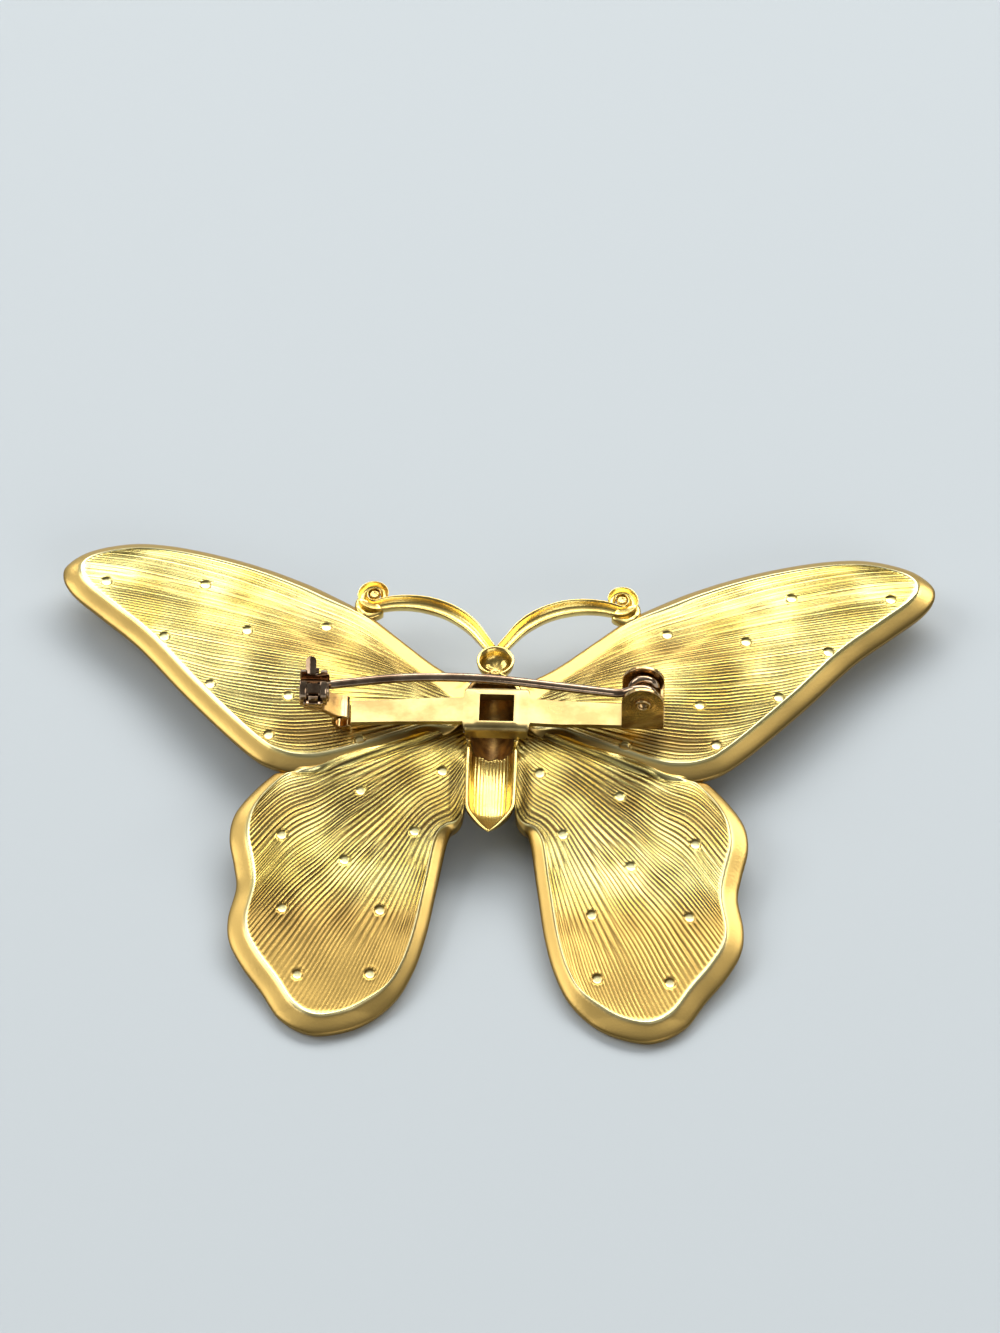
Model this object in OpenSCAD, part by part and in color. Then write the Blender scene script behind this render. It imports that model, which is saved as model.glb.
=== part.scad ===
// Butterfly brooch lying face down: its hollow back and the pin finding face up (+Z),
// the head points to +Y, and the origin is on the surface under the middle of the brooch.
// All sizes are millimetres.

/* [Wings] */
// Distance between the tips of the two forewings
wing_span = 76; // [66:0.5:88]
// Height of a forewing above the notch between fore and hind wing
fore_rise = 25.6; // [22:0.1:30]
// Reach of a hindwing below that notch
hind_reach = 27.05; // [23:0.1:32]
// Widest half width of the hindwings
hind_spread = 22.45; // [20:0.05:25]
// Thickness of the stamped metal
sheet = 0.7; // [0.5:0.05:0.9]
// Height of the wing surface at the body
root_z = 4.6; // [4.2:0.1:5.4]
// Height of a forewing's surface at its tip
tip_z = 3.7; // [3:0.1:4.4]
// Step from a forewing down to the hindwing behind it
wing_step = 0.35; // [0.2:0.05:0.5]
// How far each wing swells above a flat plate
crown = 0.2; // [0:0.05:0.3]

/* [Wing border] */
// Width of the rounded border outside the crease
border_w = 1.6; // [1.2:0.1:2]
// Drop of the border to its outer edge
border_drop = 0.7; // [0.4:0.05:0.9]
// Width of the raised crease line
crease_w = 0.35; // [0.2:0.05:0.5]
// Height of the crease line over the wing beside it
crease_h = 0.12; // [0.05:0.01:0.2]

/* [Pits] */
// Diameter of a pit's mouth
pit_d = 1.1; // [0.8:0.05:1.4]
// Depth of a pit
pit_depth = 0.35; // [0.2:0.05:0.45]

/* [Body] */
// Outer width of the thorax
thorax_w = 5.5; // [5:0.1:6.2]
// Length of the thorax
thorax_l = 7.6; // [7:0.1:8.6]
// Outer width of the abdomen
abdomen_w = 4.5; // [4:0.1:5]
// Length of the abdomen
abdomen_l = 10.6; // [9:0.1:12]
// Depth of the abdomen below the wings
abdomen_depth = 3.1; // [2.4:0.1:3.8]
// Thickness of the body's walls
body_wall = 0.6; // [0.45:0.05:0.7]
// Outer diameter of the head cup
head_d = 3.3; // [2.9:0.1:3.8]
// Distance from the notch line to the middle of the head
head_y = 12; // [11.4:0.1:12.6]

/* [Antennae] */
// Radius of the arc that each antenna follows
antenna_r = 7.5; // [6.8:0.1:8.2]
// Widest width of an antenna
antenna_w = 1.65; // [1.2:0.05:1.9]
// Height of an antenna's outside
antenna_h = 1.15; // [0.9:0.05:1.4]
// Outer diameter of the scroll at its end
scroll_d = 2.75; // [2.3:0.05:3.2]

/* [Pin bar] */
// Width of the two arms
arm_w = 2.7; // [2.5:0.05:3.2]
// Thickness of the strip
strip_t = 0.45; // [0.35:0.05:0.6]
// Length of the pad along the wings
pad_l = 5.6; // [5:0.1:6.4]
// Width of the pad along the body
pad_w = 4.75; // [4.4:0.05:5.2]
// Side of the square hole in the pad
hole_w = 3; // [2.4:0.1:3.4]
// Height of the pad's top above the wings
pad_rise = 1.35; // [1.1:0.05:1.8]
// Distance from the body's middle line to the middle of the pad
bar_shift = 0.3; // [-0.5:0.1:0.5]
// Distance from the pad's middle to the hinge
hinge_x = 12.7; // [11.5:0.1:14]
// Distance from the pad's middle to the middle of the catch
catch_x = 16.1; // [15:0.1:17.5]
// How far the catch arm dips to its end
catch_dip = 0.65; // [0.3:0.05:0.8]
// How far the hinge arm lies below the pad
hinge_dip = 0.2; // [0.1:0.05:0.4]

/* [Hinge] */
// Height of the rivet above the arm
rivet_h = 3.1; // [2.9:0.1:3.6]
// Outer radius of an ear
ear_r = 1.83; // [1.75:0.02:2.2]
// Thickness of an ear
ear_t = 0.35; // [0.3:0.05:0.4]
// Diameter of the rivet's shank
rivet_d = 1.1; // [0.9:0.05:1.2]
// Diameter of the hole through the rivet
rivet_bore = 0.75; // [0.5:0.05:0.8]
// Gap between the rivet and what it holds
rivet_gap = 0.05; // [0.03:0.01:0.08]

/* [Pin stem] */
// Diameter of the pin wire
wire_d = 0.8; // [0.7:0.05:0.9]
// Distance between the two turns of the coil
turn_pitch = 1.1; // [1.05:0.05:1.2]
// Slope of the straight stretch at the point
point_slope = 12.2; // [11.4:0.1:13]
// Length of the point's taper
point_l = 3.2; // [3.1:0.1:4]

/* [Catch] */
// Height of the catch's axis above the hinge arm
catch_h = 2.65; // [2.5:0.05:2.8]
// Diameter of the rotor's bore
rotor_bore = 2.1; // [2:0.05:2.2]
// Wall of the rotor
rotor_wall = 0.2; // [0.15:0.01:0.25]
// Diameter of the rotor's two rings
rotor_ring_d = 3.1; // [3:0.05:3.3]
// Width of the slot that lets the pin in
slot_w = 1.05; // [1:0.05:1.2]
// Wall of the fixed hook
hook_wall = 0.3; // [0.2:0.02:0.32]
// Running gap between rotor and hook
turn_gap = 0.05; // [0.03:0.01:0.08]
// Reach of the thumb tab from the catch's axis
tab_reach = 2.75; // [2.2:0.05:3.2]

/* [Hidden] */

gold = [0.86, 0.68, 0.28];
pin_gold = [0.62, 0.46, 0.24];

// Outline of the right forewing: share of the half span, share of the rise above the notch
FORE_EDGE = [
    [0.02, 0.33], [0.14, 0.455], [0.337, 0.729], [0.492, 0.865], [0.658, 0.957],
    [0.811, 1], [0.926, 0.973], [0.987, 0.912], [1, 0.85], [0.974, 0.77],
    [0.903, 0.664], [0.816, 0.535], [0.705, 0.324], [0.563, 0.082], [0.492, 0.008],
    [0.421, -0.012], [0.353, 0.006], [0.218, 0.084], [0.09, 0.17], [0.02, 0.235]
];

// Outline of the right hindwing: share of its half width, share of its reach below the notch
HIND_EDGE = [
    [0.825, 0], [0.92, 0.085], [0.984, 0.17], [1, 0.26], [0.978, 0.366],
    [0.967, 0.45], [0.993, 0.565], [0.984, 0.655], [0.93, 0.748], [0.855, 0.84],
    [0.785, 0.935], [0.695, 0.99], [0.6, 1], [0.463, 0.96], [0.343, 0.868],
    [0.272, 0.75], [0.227, 0.61], [0.191, 0.425], [0.151, 0.23], [0.07, 0.08],
    [0.05, -0.1], [0.15, -0.19], [0.39, -0.12], [0.62, -0.05], [0.75, -0.03]
];

// Pits of the right forewing, in the same shares as its outline
FORE_PITS = [
    [0.899, 0.81], [0.672, 0.795], [0.76, 0.567], [0.571, 0.59], [0.65, 0.358],
    [0.39, 0.61], [0.47, 0.304], [0.511, 0.136], [0.302, 0.115]
];

// Pits of the right hindwing, in the same shares as its outline
HIND_PITS = [
    [0.188, 0.006], [0.5, 0.088], [0.797, 0.262], [0.552, 0.356], [0.286, 0.24],
    [0.784, 0.543], [0.408, 0.543], [0.716, 0.79], [0.437, 0.782]
];

half_span = wing_span / 2;
// Steps of the curve between two outline points
curve_steps = 3;
// Where the skeleton line of each wing starts and ends, in the outline's shares
FORE_SPINE = [[0.12, 0.3], [0.88, 0.85]];
HIND_SPINE = [[0.3, 0.03], [0.6, 0.82]];

function blend4(a, b, c, d, t) =
    0.5 * (2 * b + (c - a) * t + (2 * a - 5 * b + 4 * c - d) * t * t
        + (3 * b - a - 3 * c + d) * t * t * t);
function wrap(list, i) = list[(i + len(list)) % len(list)];
// Smooth closed curve through a table of points
function closed_curve(p) = [
    for (i = [0:len(p) - 1], k = [0:curve_steps - 1])
        blend4(wrap(p, i - 1), p[i], wrap(p, i + 1), wrap(p, i + 2), k / curve_steps)
];

function fore_size(p) = [p.x * half_span, p.y * fore_rise];
function hind_size(p) = [p.x * hind_spread, -p.y * hind_reach];
fore_outline = closed_curve([for (p = FORE_EDGE) fore_size(p)]);
hind_outline = closed_curve([for (p = HIND_EDGE) hind_size(p)]);
// The notch line lies so that the origin is under the middle of the brooch
notch_y = -(max([for (p = fore_outline) p.y]) + min([for (p = hind_outline) p.y])) / 2;

// The tail's edge touches the surface
tail_z = border_drop + sheet;
hind_root_z = root_z - wing_step;
function fore_z(p) = root_z - (root_z - tip_z) * abs(p.x) / half_span;
function hind_z(p) = hind_root_z
    - (hind_root_z - tail_z) * min(1, max(0, 0.08 - p.y / hind_reach));

// Nearest point of a wing's skeleton line
function on_spine(p, s) =
    let (d = s[1] - s[0], t = (p - s[0]) * d / (d * d)) s[0] + d * min(1, max(0, t));
// A point moved inwards by a distance, and by a share of what is left
function inward(p, c, dist, share) =
    let (q = p + (c - p) * min(0.9, dist / norm(c - p))) q + (c - q) * share;

// Rings of a wing from its edge to its middle: distance in, share of the rest, height
wing_rings = [
    [0, 0, -border_drop],
    [border_w * 0.45, 0, -border_drop * 0.45],
    [border_w, 0, crease_h],
    [border_w + crease_w, 0, 0],
    [border_w + crease_w, 0.5, crown * 0.75]
];

under_rings = [wing_rings[0], wing_rings[2], wing_rings[4]];

// Bands between rings of n points, closed by a fan round the middle point
function bands(n, rings) = [
    for (r = [0:rings - 2], j = [0:n - 1])
        let (a = r * n + j, b = r * n + (j + 1) % n, c = b + n, d = a + n)
            each [[a, b, c], [a, c, d]],
    for (j = [0:n - 1])
        [(rings - 1) * n + j, (rings - 1) * n + (j + 1) % n, rings * n]
];
function wing_points(outline, spine, is_fore, rings, lower) =
    let (middle = (spine[0] + spine[1]) / 2)
        [
            for (r = rings, p = outline)
                let (q = inward(p, on_spine(p, spine), r[0], r[1]))
                    [q.x, q.y, (is_fore ? fore_z(q) : hind_z(q)) + r[2] - lower],
            [middle.x, middle.y, (is_fore ? fore_z(middle) : hind_z(middle)) + crown - lower]
        ];

module wing(outline, spine, is_fore) {
    n = len(outline);
    top = wing_points(outline, spine, is_fore, wing_rings, 0);
    under = wing_points(outline, spine, is_fore, under_rings, sheet);
    m = len(top);
    lower = [for (f = bands(n, len(under_rings))) [f[2] + m, f[1] + m, f[0] + m]];
    edge = [
        for (j = [0:n - 1])
            let (k = (j + 1) % n) each [[j, j + m, k + m], [j, k + m, k]]
    ];
    polyhedron(concat(top, under), concat(bands(n, len(wing_rings)), lower, edge));
}

// Right half of the wings, standing on the notch line
module right_wings() {
    wing(fore_outline, [for (p = FORE_SPINE) fore_size(p)], true);
    wing(hind_outline, [for (p = HIND_SPINE) hind_size(p)], false);
}

// Ball whose cap below the surface gives a pit its mouth and depth
pit_r = (pow(pit_d / 2, 2) + pow(pit_depth, 2)) / (2 * pit_depth);
// How far a pit shows as a bump on the front
pit_bump = 0.15;

// Puts its children at every pit, on the wing's surface
module at_pits() {
    for (p = FORE_PITS) {
        q = fore_size(p);
        translate([q.x, q.y, fore_z(q) + pit_lift(FORE_SPINE, p)])
            children();
    }
    for (p = HIND_PITS) {
        q = hind_size(p);
        translate([q.x, q.y, hind_z(q) + pit_lift(HIND_SPINE, p)])
            children();
    }
}
module pit_hollow() {
    translate([0, 0, pit_r - pit_depth])
        sphere(pit_r, $fn = 8);
}
module pit_swelling() {
    translate([0, 0, -sheet - pit_bump])
        cylinder(r1 = pit_d * 0.35, r2 = pit_d * 0.8, h = sheet * 0.8, $fn = 8);
}
// The crown under a pit, fullest on the wing's skeleton line
function pit_lift(spine, p) = crown * max(0, 0.9 - 2 * norm(p - on_spine(p, spine)));

waist_y = 3.1;
thorax_y = waist_y + thorax_l / 2;
body_z = root_z + 0.25;

module thorax(grow) {
    translate([0, thorax_y, body_z])
        scale([thorax_w / 2 + grow, thorax_l / 2 + grow, body_z + grow])
            sphere(1, $fn = 20);
}

// Abdomen stations: share of its length from the waist, share of the width, share of the depth
ABDOMEN = [
    [0.02, 0.93, 0.9], [0.25, 1, 1], [0.5, 0.97, 0.95], [0.71, 0.92, 0.8],
    [0.86, 0.66, 0.52], [0.97, 0.18, 0.2]
];

module abdomen(grow) {
    for (i = [0:len(ABDOMEN) - 2])
        hull() {
            abdomen_station(ABDOMEN[i], grow);
            abdomen_station(ABDOMEN[i + 1], grow);
        }
}
module abdomen_station(s, grow) {
    translate([0, waist_y - s[0] * abdomen_l, body_z])
        scale([
            max(0.1, s[1] * abdomen_w / 2 + grow), 1,
            max(0.1, s[2] * abdomen_depth + grow)
        ])
            rotate([90, 0, 0])
                cylinder(r = 1, h = 0.2, $fn = 16);
}

head_z = body_z - 0.1;
module head_ball(grow) {
    translate([0, head_y, head_z])
        scale([1, 1, 1.1])
            sphere(head_d / 2 + grow, $fn = 18);
}

// Each antenna is an arc: from near the head round to the scroll
antenna_z = body_z - 0.15;
antenna_mid = [antenna_r * cos(23.5) + 1, head_y - 0.95];
antenna_from = 164;
antenna_to = 72;
antenna_steps = 9;
scroll_at = antenna_mid + (antenna_r + 1.4) * [cos(71), sin(71)];

function antenna_width(t) = antenna_w * (0.55 + 0.45 * sin(180 * min(1, 0.05 + 0.75 * t)));
// Half an ellipse across the antenna, open to the top; rise lifts its upper edge
function antenna_loop(t, grow, depth, rise) =
    let (a = antenna_from + (antenna_to - antenna_from) * t, w = antenna_width(t) / 2 + grow)
        [
            for (p = concat([[1, -rise]], [for (k = [0:6]) [cos(30 * k), sin(30 * k)]], [[-1, -rise]]))
                let (r = antenna_r + w * p.x)
                    [
                        antenna_mid.x + r * cos(a), antenna_mid.y + r * sin(a),
                        antenna_z - depth * p.y
                    ]
        ];
module antenna(grow, depth, rise) {
    skin([for (i = [0:antenna_steps]) antenna_loop(i / antenna_steps, grow, depth, rise)]);
}
// Skin over a row of loops, closed at both ends
module skin(loops) {
    n = len(loops[0]);
    last = len(loops) - 1;
    sides = [
        for (i = [0:last - 1], j = [0:n - 1])
            let (a = i * n + j, b = i * n + (j + 1) % n, c = b + n, d = a + n)
                each [[a, c, d], [a, b, c]]
    ];
    ends = [[for (j = [n - 1:-1:0]) j], [for (j = [0:n - 1]) last * n + j]];
    polyhedron([for (l = loops) each l], concat(sides, ends));
}

scroll_rim = 0.28;
module scroll_cup() {
    translate([scroll_at.x, scroll_at.y, antenna_z - antenna_h])
        cylinder(r1 = scroll_d * 0.42, r2 = scroll_d / 2, h = antenna_h, $fn = 20);
}
// The curl left inside the cup's hollow
module scroll_hollow() {
    translate([scroll_at.x, scroll_at.y, antenna_z + 0.15])
        difference() {
            scale([1, 1, 0.85])
                sphere(scroll_d / 2 - scroll_rim, $fn = 16);
            translate([-scroll_d * 0.06, -scroll_d * 0.1, -antenna_h])
                cylinder(r1 = scroll_d * 0.17, r2 = scroll_d * 0.11, h = antenna_h, $fn = 10);
        }
}
// Web that ties the scroll to the forewing's edge
module scroll_web() {
    web_at = fore_size([0.312, 0.68]);
    hull() {
        translate([scroll_at.x + 0.3, scroll_at.y - 0.7, antenna_z - 0.75])
            cylinder(r = 0.6, h = 0.7, $fn = 12);
        translate([web_at.x, web_at.y, fore_z(web_at) - border_drop - 0.35])
            cylinder(r = 0.7, h = 0.7, $fn = 12);
    }
}

groove = 0.27;
module antenna_pair() {
    difference() {
        union() {
            antenna(0, antenna_h, 0.05);
            scroll_cup();
            scroll_web();
        }
        antenna(-groove, antenna_h - 0.4, 0.6);
        scroll_hollow();
    }
}

module both_sides() {
    children();
    mirror([1, 0, 0])
        children();
}

module butterfly() {
    color(gold)
        translate([0, notch_y, 0])
            difference() {
                union() {
                    both_sides() {
                        right_wings();
                        at_pits()
                            pit_swelling();
                        antenna_pair();
                    }
                    thorax(0);
                    abdomen(0);
                    head_ball(0);
                }
                both_sides()
                    at_pits()
                        pit_hollow();
                thorax(-body_wall);
                abdomen(-body_wall);
                head_ball(-0.35);
                // The body and the head end at their rims
                translate([-thorax_w / 2, waist_y - abdomen_l - 1, body_z])
                    cube([thorax_w, head_y + head_d + abdomen_l, root_z * 2]);
            }
}

// Levels and lines of the finding
stem_y = notch_y + 5.2;
pad_y = stem_y + 0.3;
pad_z = body_z + pad_rise;
arm_z = pad_z - hinge_dip;
catch_arm_z = pad_z - catch_dip;
rivet_z = arm_z + rivet_h;
catch_z = arm_z + catch_h;
rivet_x = bar_shift + hinge_x;
catch_mid = bar_shift - catch_x;
hook_r = rotor_bore / 2 + rotor_wall + turn_gap;
cradle_r = rotor_ring_d / 2 + turn_gap;
// Widths along the catch's axis: the two rings, and the hook between them
ring_w = 0.75;
hook_w = 1;
cradle_w = 2.3;
rotor_nose = 0.3;
shoulder = 0.5;
arm_end = catch_mid + 3.5;
end_wall_x = rivet_x + ear_r;

// A shape drawn across X (its sides are Y and Z) and pushed along X
module along_x(length) {
    rotate([90, 0, 90])
        linear_extrude(length, center = true)
            children();
}
// A shape drawn across Y (its sides are X and Z) and pushed along Y
module along_y(length) {
    rotate([90, 0, 0])
        linear_extrude(length, center = true)
            children();
}
// Part of a flat ring between two angles
module ring_part(r_in, r_out, from, to) {
    cut = 4 * r_out;
    gap = 360 - (to - from);
    difference() {
        circle(r_out, $fn = 48);
        circle(r_in, $fn = 48);
        polygon(concat(
            [[0, 0]],
            [for (k = [0:6]) cut * [cos(to + gap * k / 6), sin(to + gap * k / 6)]]
        ));
    }
}

// The strip seen from its side
module strip_side() {
    left_pad = bar_shift - pad_l / 2;
    right_pad = bar_shift + pad_l / 2;
    top = [
        [arm_end, catch_arm_z], [left_pad - shoulder, pad_z - 0.1], [left_pad, pad_z],
        [right_pad, pad_z], [right_pad + shoulder, arm_z], [end_wall_x, arm_z]
    ];
    last = len(top) - 1;
    polygon(concat(top, [for (i = [0:last]) top[last - i] - [0, strip_t]]));
}
// The strip seen from above
module strip_plan() {
    near = stem_y - arm_w / 2;
    pad_near = pad_y - pad_w / 2;
    difference() {
        union() {
            translate([arm_end, near])
                square([end_wall_x - arm_end, arm_w]);
            translate([bar_shift - pad_l / 2, pad_near])
                square([pad_l, pad_w]);
        }
        translate([bar_shift - hole_w / 2, pad_y - hole_w / 2 - 0.1])
            square([hole_w, hole_w]);
    }
}
module strip() {
    intersection() {
        translate([0, stem_y, 0])
            along_y(4 * pad_w)
                strip_side();
        linear_extrude(2 * pad_z)
            strip_plan();
    }
}
// Flanges turned down from the pad, whose feet stand on the body's rims
module pad_foot(y) {
    translate([bar_shift - pad_l / 2, y, body_z])
        cube([pad_l, strip_t, pad_rise - strip_t / 2]);
}
module hinge_ears() {
    for (side = [-1, 1])
        translate([rivet_x, stem_y + side * (ear_gap + ear_t) / 2, rivet_z])
            along_y(ear_t)
                difference() {
                    union() {
                        circle(ear_r, $fn = 48);
                        translate([-ear_r, -rivet_h - strip_t / 2])
                            square([2 * ear_r, rivet_h + strip_t / 2]);
                    }
                    circle(rivet_d / 2 + rivet_gap / 2, $fn = 32);
                }
    translate([end_wall_x - ear_t, stem_y - ear_gap / 2 - ear_t / 2, arm_z - strip_t / 2])
        cube([ear_t, ear_gap + ear_t, rivet_h + strip_t / 2]);
}
// Room between the ears for the two turns of the coil
ear_gap = turn_pitch + wire_d + 2 * 0.12;

// The strip's end rolled into a curl, and the tongue that rises from it to the cradle
curl_r = 0.8;
module catch_neck() {
    cradle_low = catch_z - cradle_r - hook_wall;
    curl_at = [arm_end - 0.25, catch_arm_z - strip_t / 2 + 0.1];
    translate([0, stem_y, 0])
        along_y(arm_w * 0.9) {
            translate(curl_at)
                ring_part(curl_r - 0.35, curl_r, 40, 330);
            polygon([
                curl_at + [-curl_r * 0.6, curl_r * 0.5], curl_at + [0.1, curl_r * 0.95],
                [catch_mid + cradle_w / 2 - 0.2, cradle_low + hook_wall],
                [catch_mid + cradle_w / 2 - 0.6, cradle_low]
            ]);
        }
}
module catch_hook() {
    translate([catch_mid, stem_y, catch_z]) {
        along_x(hook_w)
            ring_part(hook_r, cradle_r + hook_wall / 2, 157, 390);
        along_x(cradle_w)
            ring_part(cradle_r, cradle_r + hook_wall, 180, 325);
    }
}
module pin_bar() {
    color(pin_gold) {
        strip();
        pad_foot(pad_y - pad_w / 2);
        pad_foot(pad_y + pad_w / 2 - strip_t);
        hinge_ears();
        catch_neck();
        catch_hook();
    }
}

rivet_l = ear_gap + 2 * ear_t;
module hinge_rivet() {
    head = 0.18;
    head_r = rivet_d / 2 + 0.2;
    half = rivet_l / 2 + 0.02;
    color(pin_gold)
        translate([rivet_x, stem_y, rivet_z])
            rotate([90, 0, 0])
                rotate_extrude($fn = 48)
                    polygon([
                        [rivet_bore / 2, -half - head], [head_r, -half - head], [head_r, -half],
                        [rivet_d / 2, -half], [rivet_d / 2, half], [head_r, half],
                        [head_r, half + head], [rivet_bore / 2, half + head]
                    ]);
}

// The stem's route in its own plane, from the top of its coil back to the point: it dips off
// the coil, rises straight, bows over the bar and slopes down straight through the catch.
// Angles are slopes of the wire, radii are those of its middle line.
coil_r = rivet_d / 2 + rivet_gap + wire_d / 2;
dip_r = 2.2;
dip_angle = 32;
rise_angle = 7;
bow_r = 38;
bow_angle = rise_angle + point_slope;
// Height at which the stem passes the catch's axis
stem_lift = 0.1;
stem_reach = sqrt(pow(rivet_x - catch_mid, 2) - pow(turn_pitch / 2, 2));
stem_fall = catch_z + stem_lift - rivet_z - coil_r;
// What the two straight stretches have to cover, along and up
straight_x = stem_reach - dip_r * (2 * sin(dip_angle) + sin(rise_angle))
    - bow_r * (sin(rise_angle) + sin(point_slope));
straight_z = stem_fall + dip_r * (1 + cos(rise_angle) - 2 * cos(dip_angle))
    - bow_r * (cos(point_slope) - cos(rise_angle));
rise_l = (straight_x * sin(point_slope) + straight_z * cos(point_slope)) / sin(bow_angle);
slope_l = (straight_x * sin(rise_angle) - straight_z * cos(rise_angle)) / sin(bow_angle);
// How far the point reaches past the catch's middle
point_past = hook_w / 2 + turn_gap + ring_w;
shank_l = slope_l + point_past - point_l;
// Turn that takes the stem from its own turn of the coil to the catch's middle
stem_turn = asin(turn_pitch / 2 / (rivet_x - catch_mid));

// Every second length of wire is a hair thicker, and the one between reaches a little way into
// it, so that no two of them share a face
fat = 1.01;
lap = 0.04;
// Arc of wire about the Y axis, between two angles from +X toward +Z
module arc(radius, from, angle, is_fat) {
    more = is_fat ? 0 : lap / radius * 180 / PI;
    rotate([90, 0, 0])
        rotate_extrude(angle = angle + 2 * more, start = from - more, $fn = 64)
            translate([radius, 0])
                circle(d = wire_d * (is_fat ? fat : 1), $fn = 24);
}
// A bend that starts at the origin heading to -X and turns up or down
module bend(radius, angle, up, is_fat) {
    translate([0, 0, up ? radius : -radius])
        arc(radius, up ? 270 - angle : 90, angle, is_fat);
}
// Puts its children where such a bend ends
module after_bend(radius, angle, up) {
    translate([-radius * sin(angle), 0, (up ? 1 : -1) * radius * (1 - cos(angle))])
        rotate([0, up ? angle : -angle, 0])
            children();
}
module run(length) {
    rotate([0, -90, 0])
        translate([0, 0, -lap])
            cylinder(d = wire_d, h = length + 2 * lap, $fn = 24);
}
module shank() {
    rotate([0, -90, 0])
        rotate_extrude($fn = 24)
            polygon([
                [0, -lap], [wire_d / 2, -lap], [wire_d / 2, shank_l],
                [wire_d * 0.08, shank_l + point_l], [0, shank_l + point_l]
            ]);
}
module stem_wire() {
    bend(dip_r, dip_angle, false, false);
    after_bend(dip_r, dip_angle, false) {
        bend(dip_r, dip_angle + rise_angle, true, true);
        after_bend(dip_r, dip_angle + rise_angle, true) {
            run(rise_l);
            translate([-rise_l, 0, 0]) {
                bend(bow_r, bow_angle, false, true);
                after_bend(bow_r, bow_angle, false)
                    shank();
            }
        }
    }
}

// One and a half turns of wire round the rivet, then a short tail: a half turn over the outer
// side, one that leans across to the second turn's line, and the second turn's outer half
tail_l = 0.8;
lean_r = norm([coil_r, turn_pitch / 2]);
module pin_stem() {
    color(pin_gold)
        translate([rivet_x, stem_y, rivet_z])
            rotate([0, 0, -stem_turn]) {
                translate([0, -turn_pitch / 2, 0])
                    arc(coil_r, -90, 180, true);
                rotate([-asin(turn_pitch / 2 / lean_r), 0, 0])
                    arc(lean_r, 90, 180, false);
                translate([0, turn_pitch / 2, 0])
                    arc(coil_r, -90, 180, true);
                translate([0, turn_pitch / 2, -coil_r])
                    run(tail_l);
                translate([0, -turn_pitch / 2, coil_r])
                    stem_wire();
            }
}

tab_angle = 50;
tab_w = 0.9;
tab_t = 0.32;
// The rotor's slot, open to the top
module slotted(r) {
    difference() {
        circle(r, $fn = 48);
        circle(d = rotor_bore, $fn = 48);
        translate([-slot_w / 2, 0])
            square([slot_w, 2 * rotor_ring_d]);
    }
}
module catch_rotor() {
    tube_r = rotor_bore / 2 + rotor_wall;
    half = hook_w / 2 + turn_gap + ring_w;
    color(pin_gold)
        translate([catch_mid, stem_y, catch_z]) {
            translate([rotor_nose / 2, 0, 0])
                along_x(2 * half + rotor_nose)
                    slotted(tube_r);
            for (side = [-1, 1])
                translate([side * (half - ring_w / 2), 0, 0])
                    along_x(ring_w)
                        slotted(rotor_ring_d / 2);
            // Thumb tab, standing in the hook's mouth
            rotate([tab_angle, 0, 0])
                translate([0, 0, -tab_t / 2])
                    linear_extrude(tab_t) {
                        translate([-tab_w / 2, tube_r - rotor_wall / 2])
                            square([tab_w, tab_reach - tab_w / 2 - tube_r + rotor_wall / 2]);
                        translate([0, tab_reach - tab_w / 2])
                            circle(d = tab_w, $fn = 32);
                    }
        }
}

butterfly();
pin_bar();
hinge_rivet();
pin_stem();
catch_rotor();
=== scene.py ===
import math

import bmesh
import bpy
import numpy as np
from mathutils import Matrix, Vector


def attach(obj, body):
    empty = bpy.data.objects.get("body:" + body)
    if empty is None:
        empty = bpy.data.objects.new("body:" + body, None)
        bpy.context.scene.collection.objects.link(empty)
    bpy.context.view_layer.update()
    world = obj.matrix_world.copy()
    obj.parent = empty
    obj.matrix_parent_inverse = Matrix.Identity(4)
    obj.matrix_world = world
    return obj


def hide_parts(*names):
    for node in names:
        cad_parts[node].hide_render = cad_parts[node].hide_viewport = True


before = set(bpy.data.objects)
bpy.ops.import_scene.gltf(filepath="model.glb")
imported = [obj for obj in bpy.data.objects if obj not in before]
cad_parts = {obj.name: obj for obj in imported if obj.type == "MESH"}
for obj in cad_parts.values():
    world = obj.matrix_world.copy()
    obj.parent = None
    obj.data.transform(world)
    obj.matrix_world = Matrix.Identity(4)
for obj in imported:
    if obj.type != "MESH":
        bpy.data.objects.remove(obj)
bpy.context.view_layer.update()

# --- Camera -----------------------------------------------------------------------------------
# A long lens looks down at the brooch's back from its tail end, 50 degrees above the table,
# with the brooch turned a little clockwise in the picture.
look_at = Vector((0.00039, 0.01271, 0.004))
camera_far, camera_up, camera_turn = 2.5, math.radians(50), math.radians(1.77)
camera_data = bpy.data.cameras.new("camera")
camera_data.sensor_fit = "HORIZONTAL"
camera_data.sensor_width = 36
camera_data.lens = 36 * camera_far / 0.0869
camera_data.clip_start, camera_data.clip_end = 0.01, 10
camera = bpy.data.objects.new("camera", camera_data)
bpy.context.scene.collection.objects.link(camera)
toward = Vector((math.sin(camera_turn) * math.cos(camera_up),
                 -math.cos(camera_turn) * math.cos(camera_up), math.sin(camera_up)))
camera.location = look_at + camera_far * toward
camera.rotation_euler = (-toward).to_track_quat("-Z", "Y").to_euler()
bpy.context.scene.camera = camera

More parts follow.
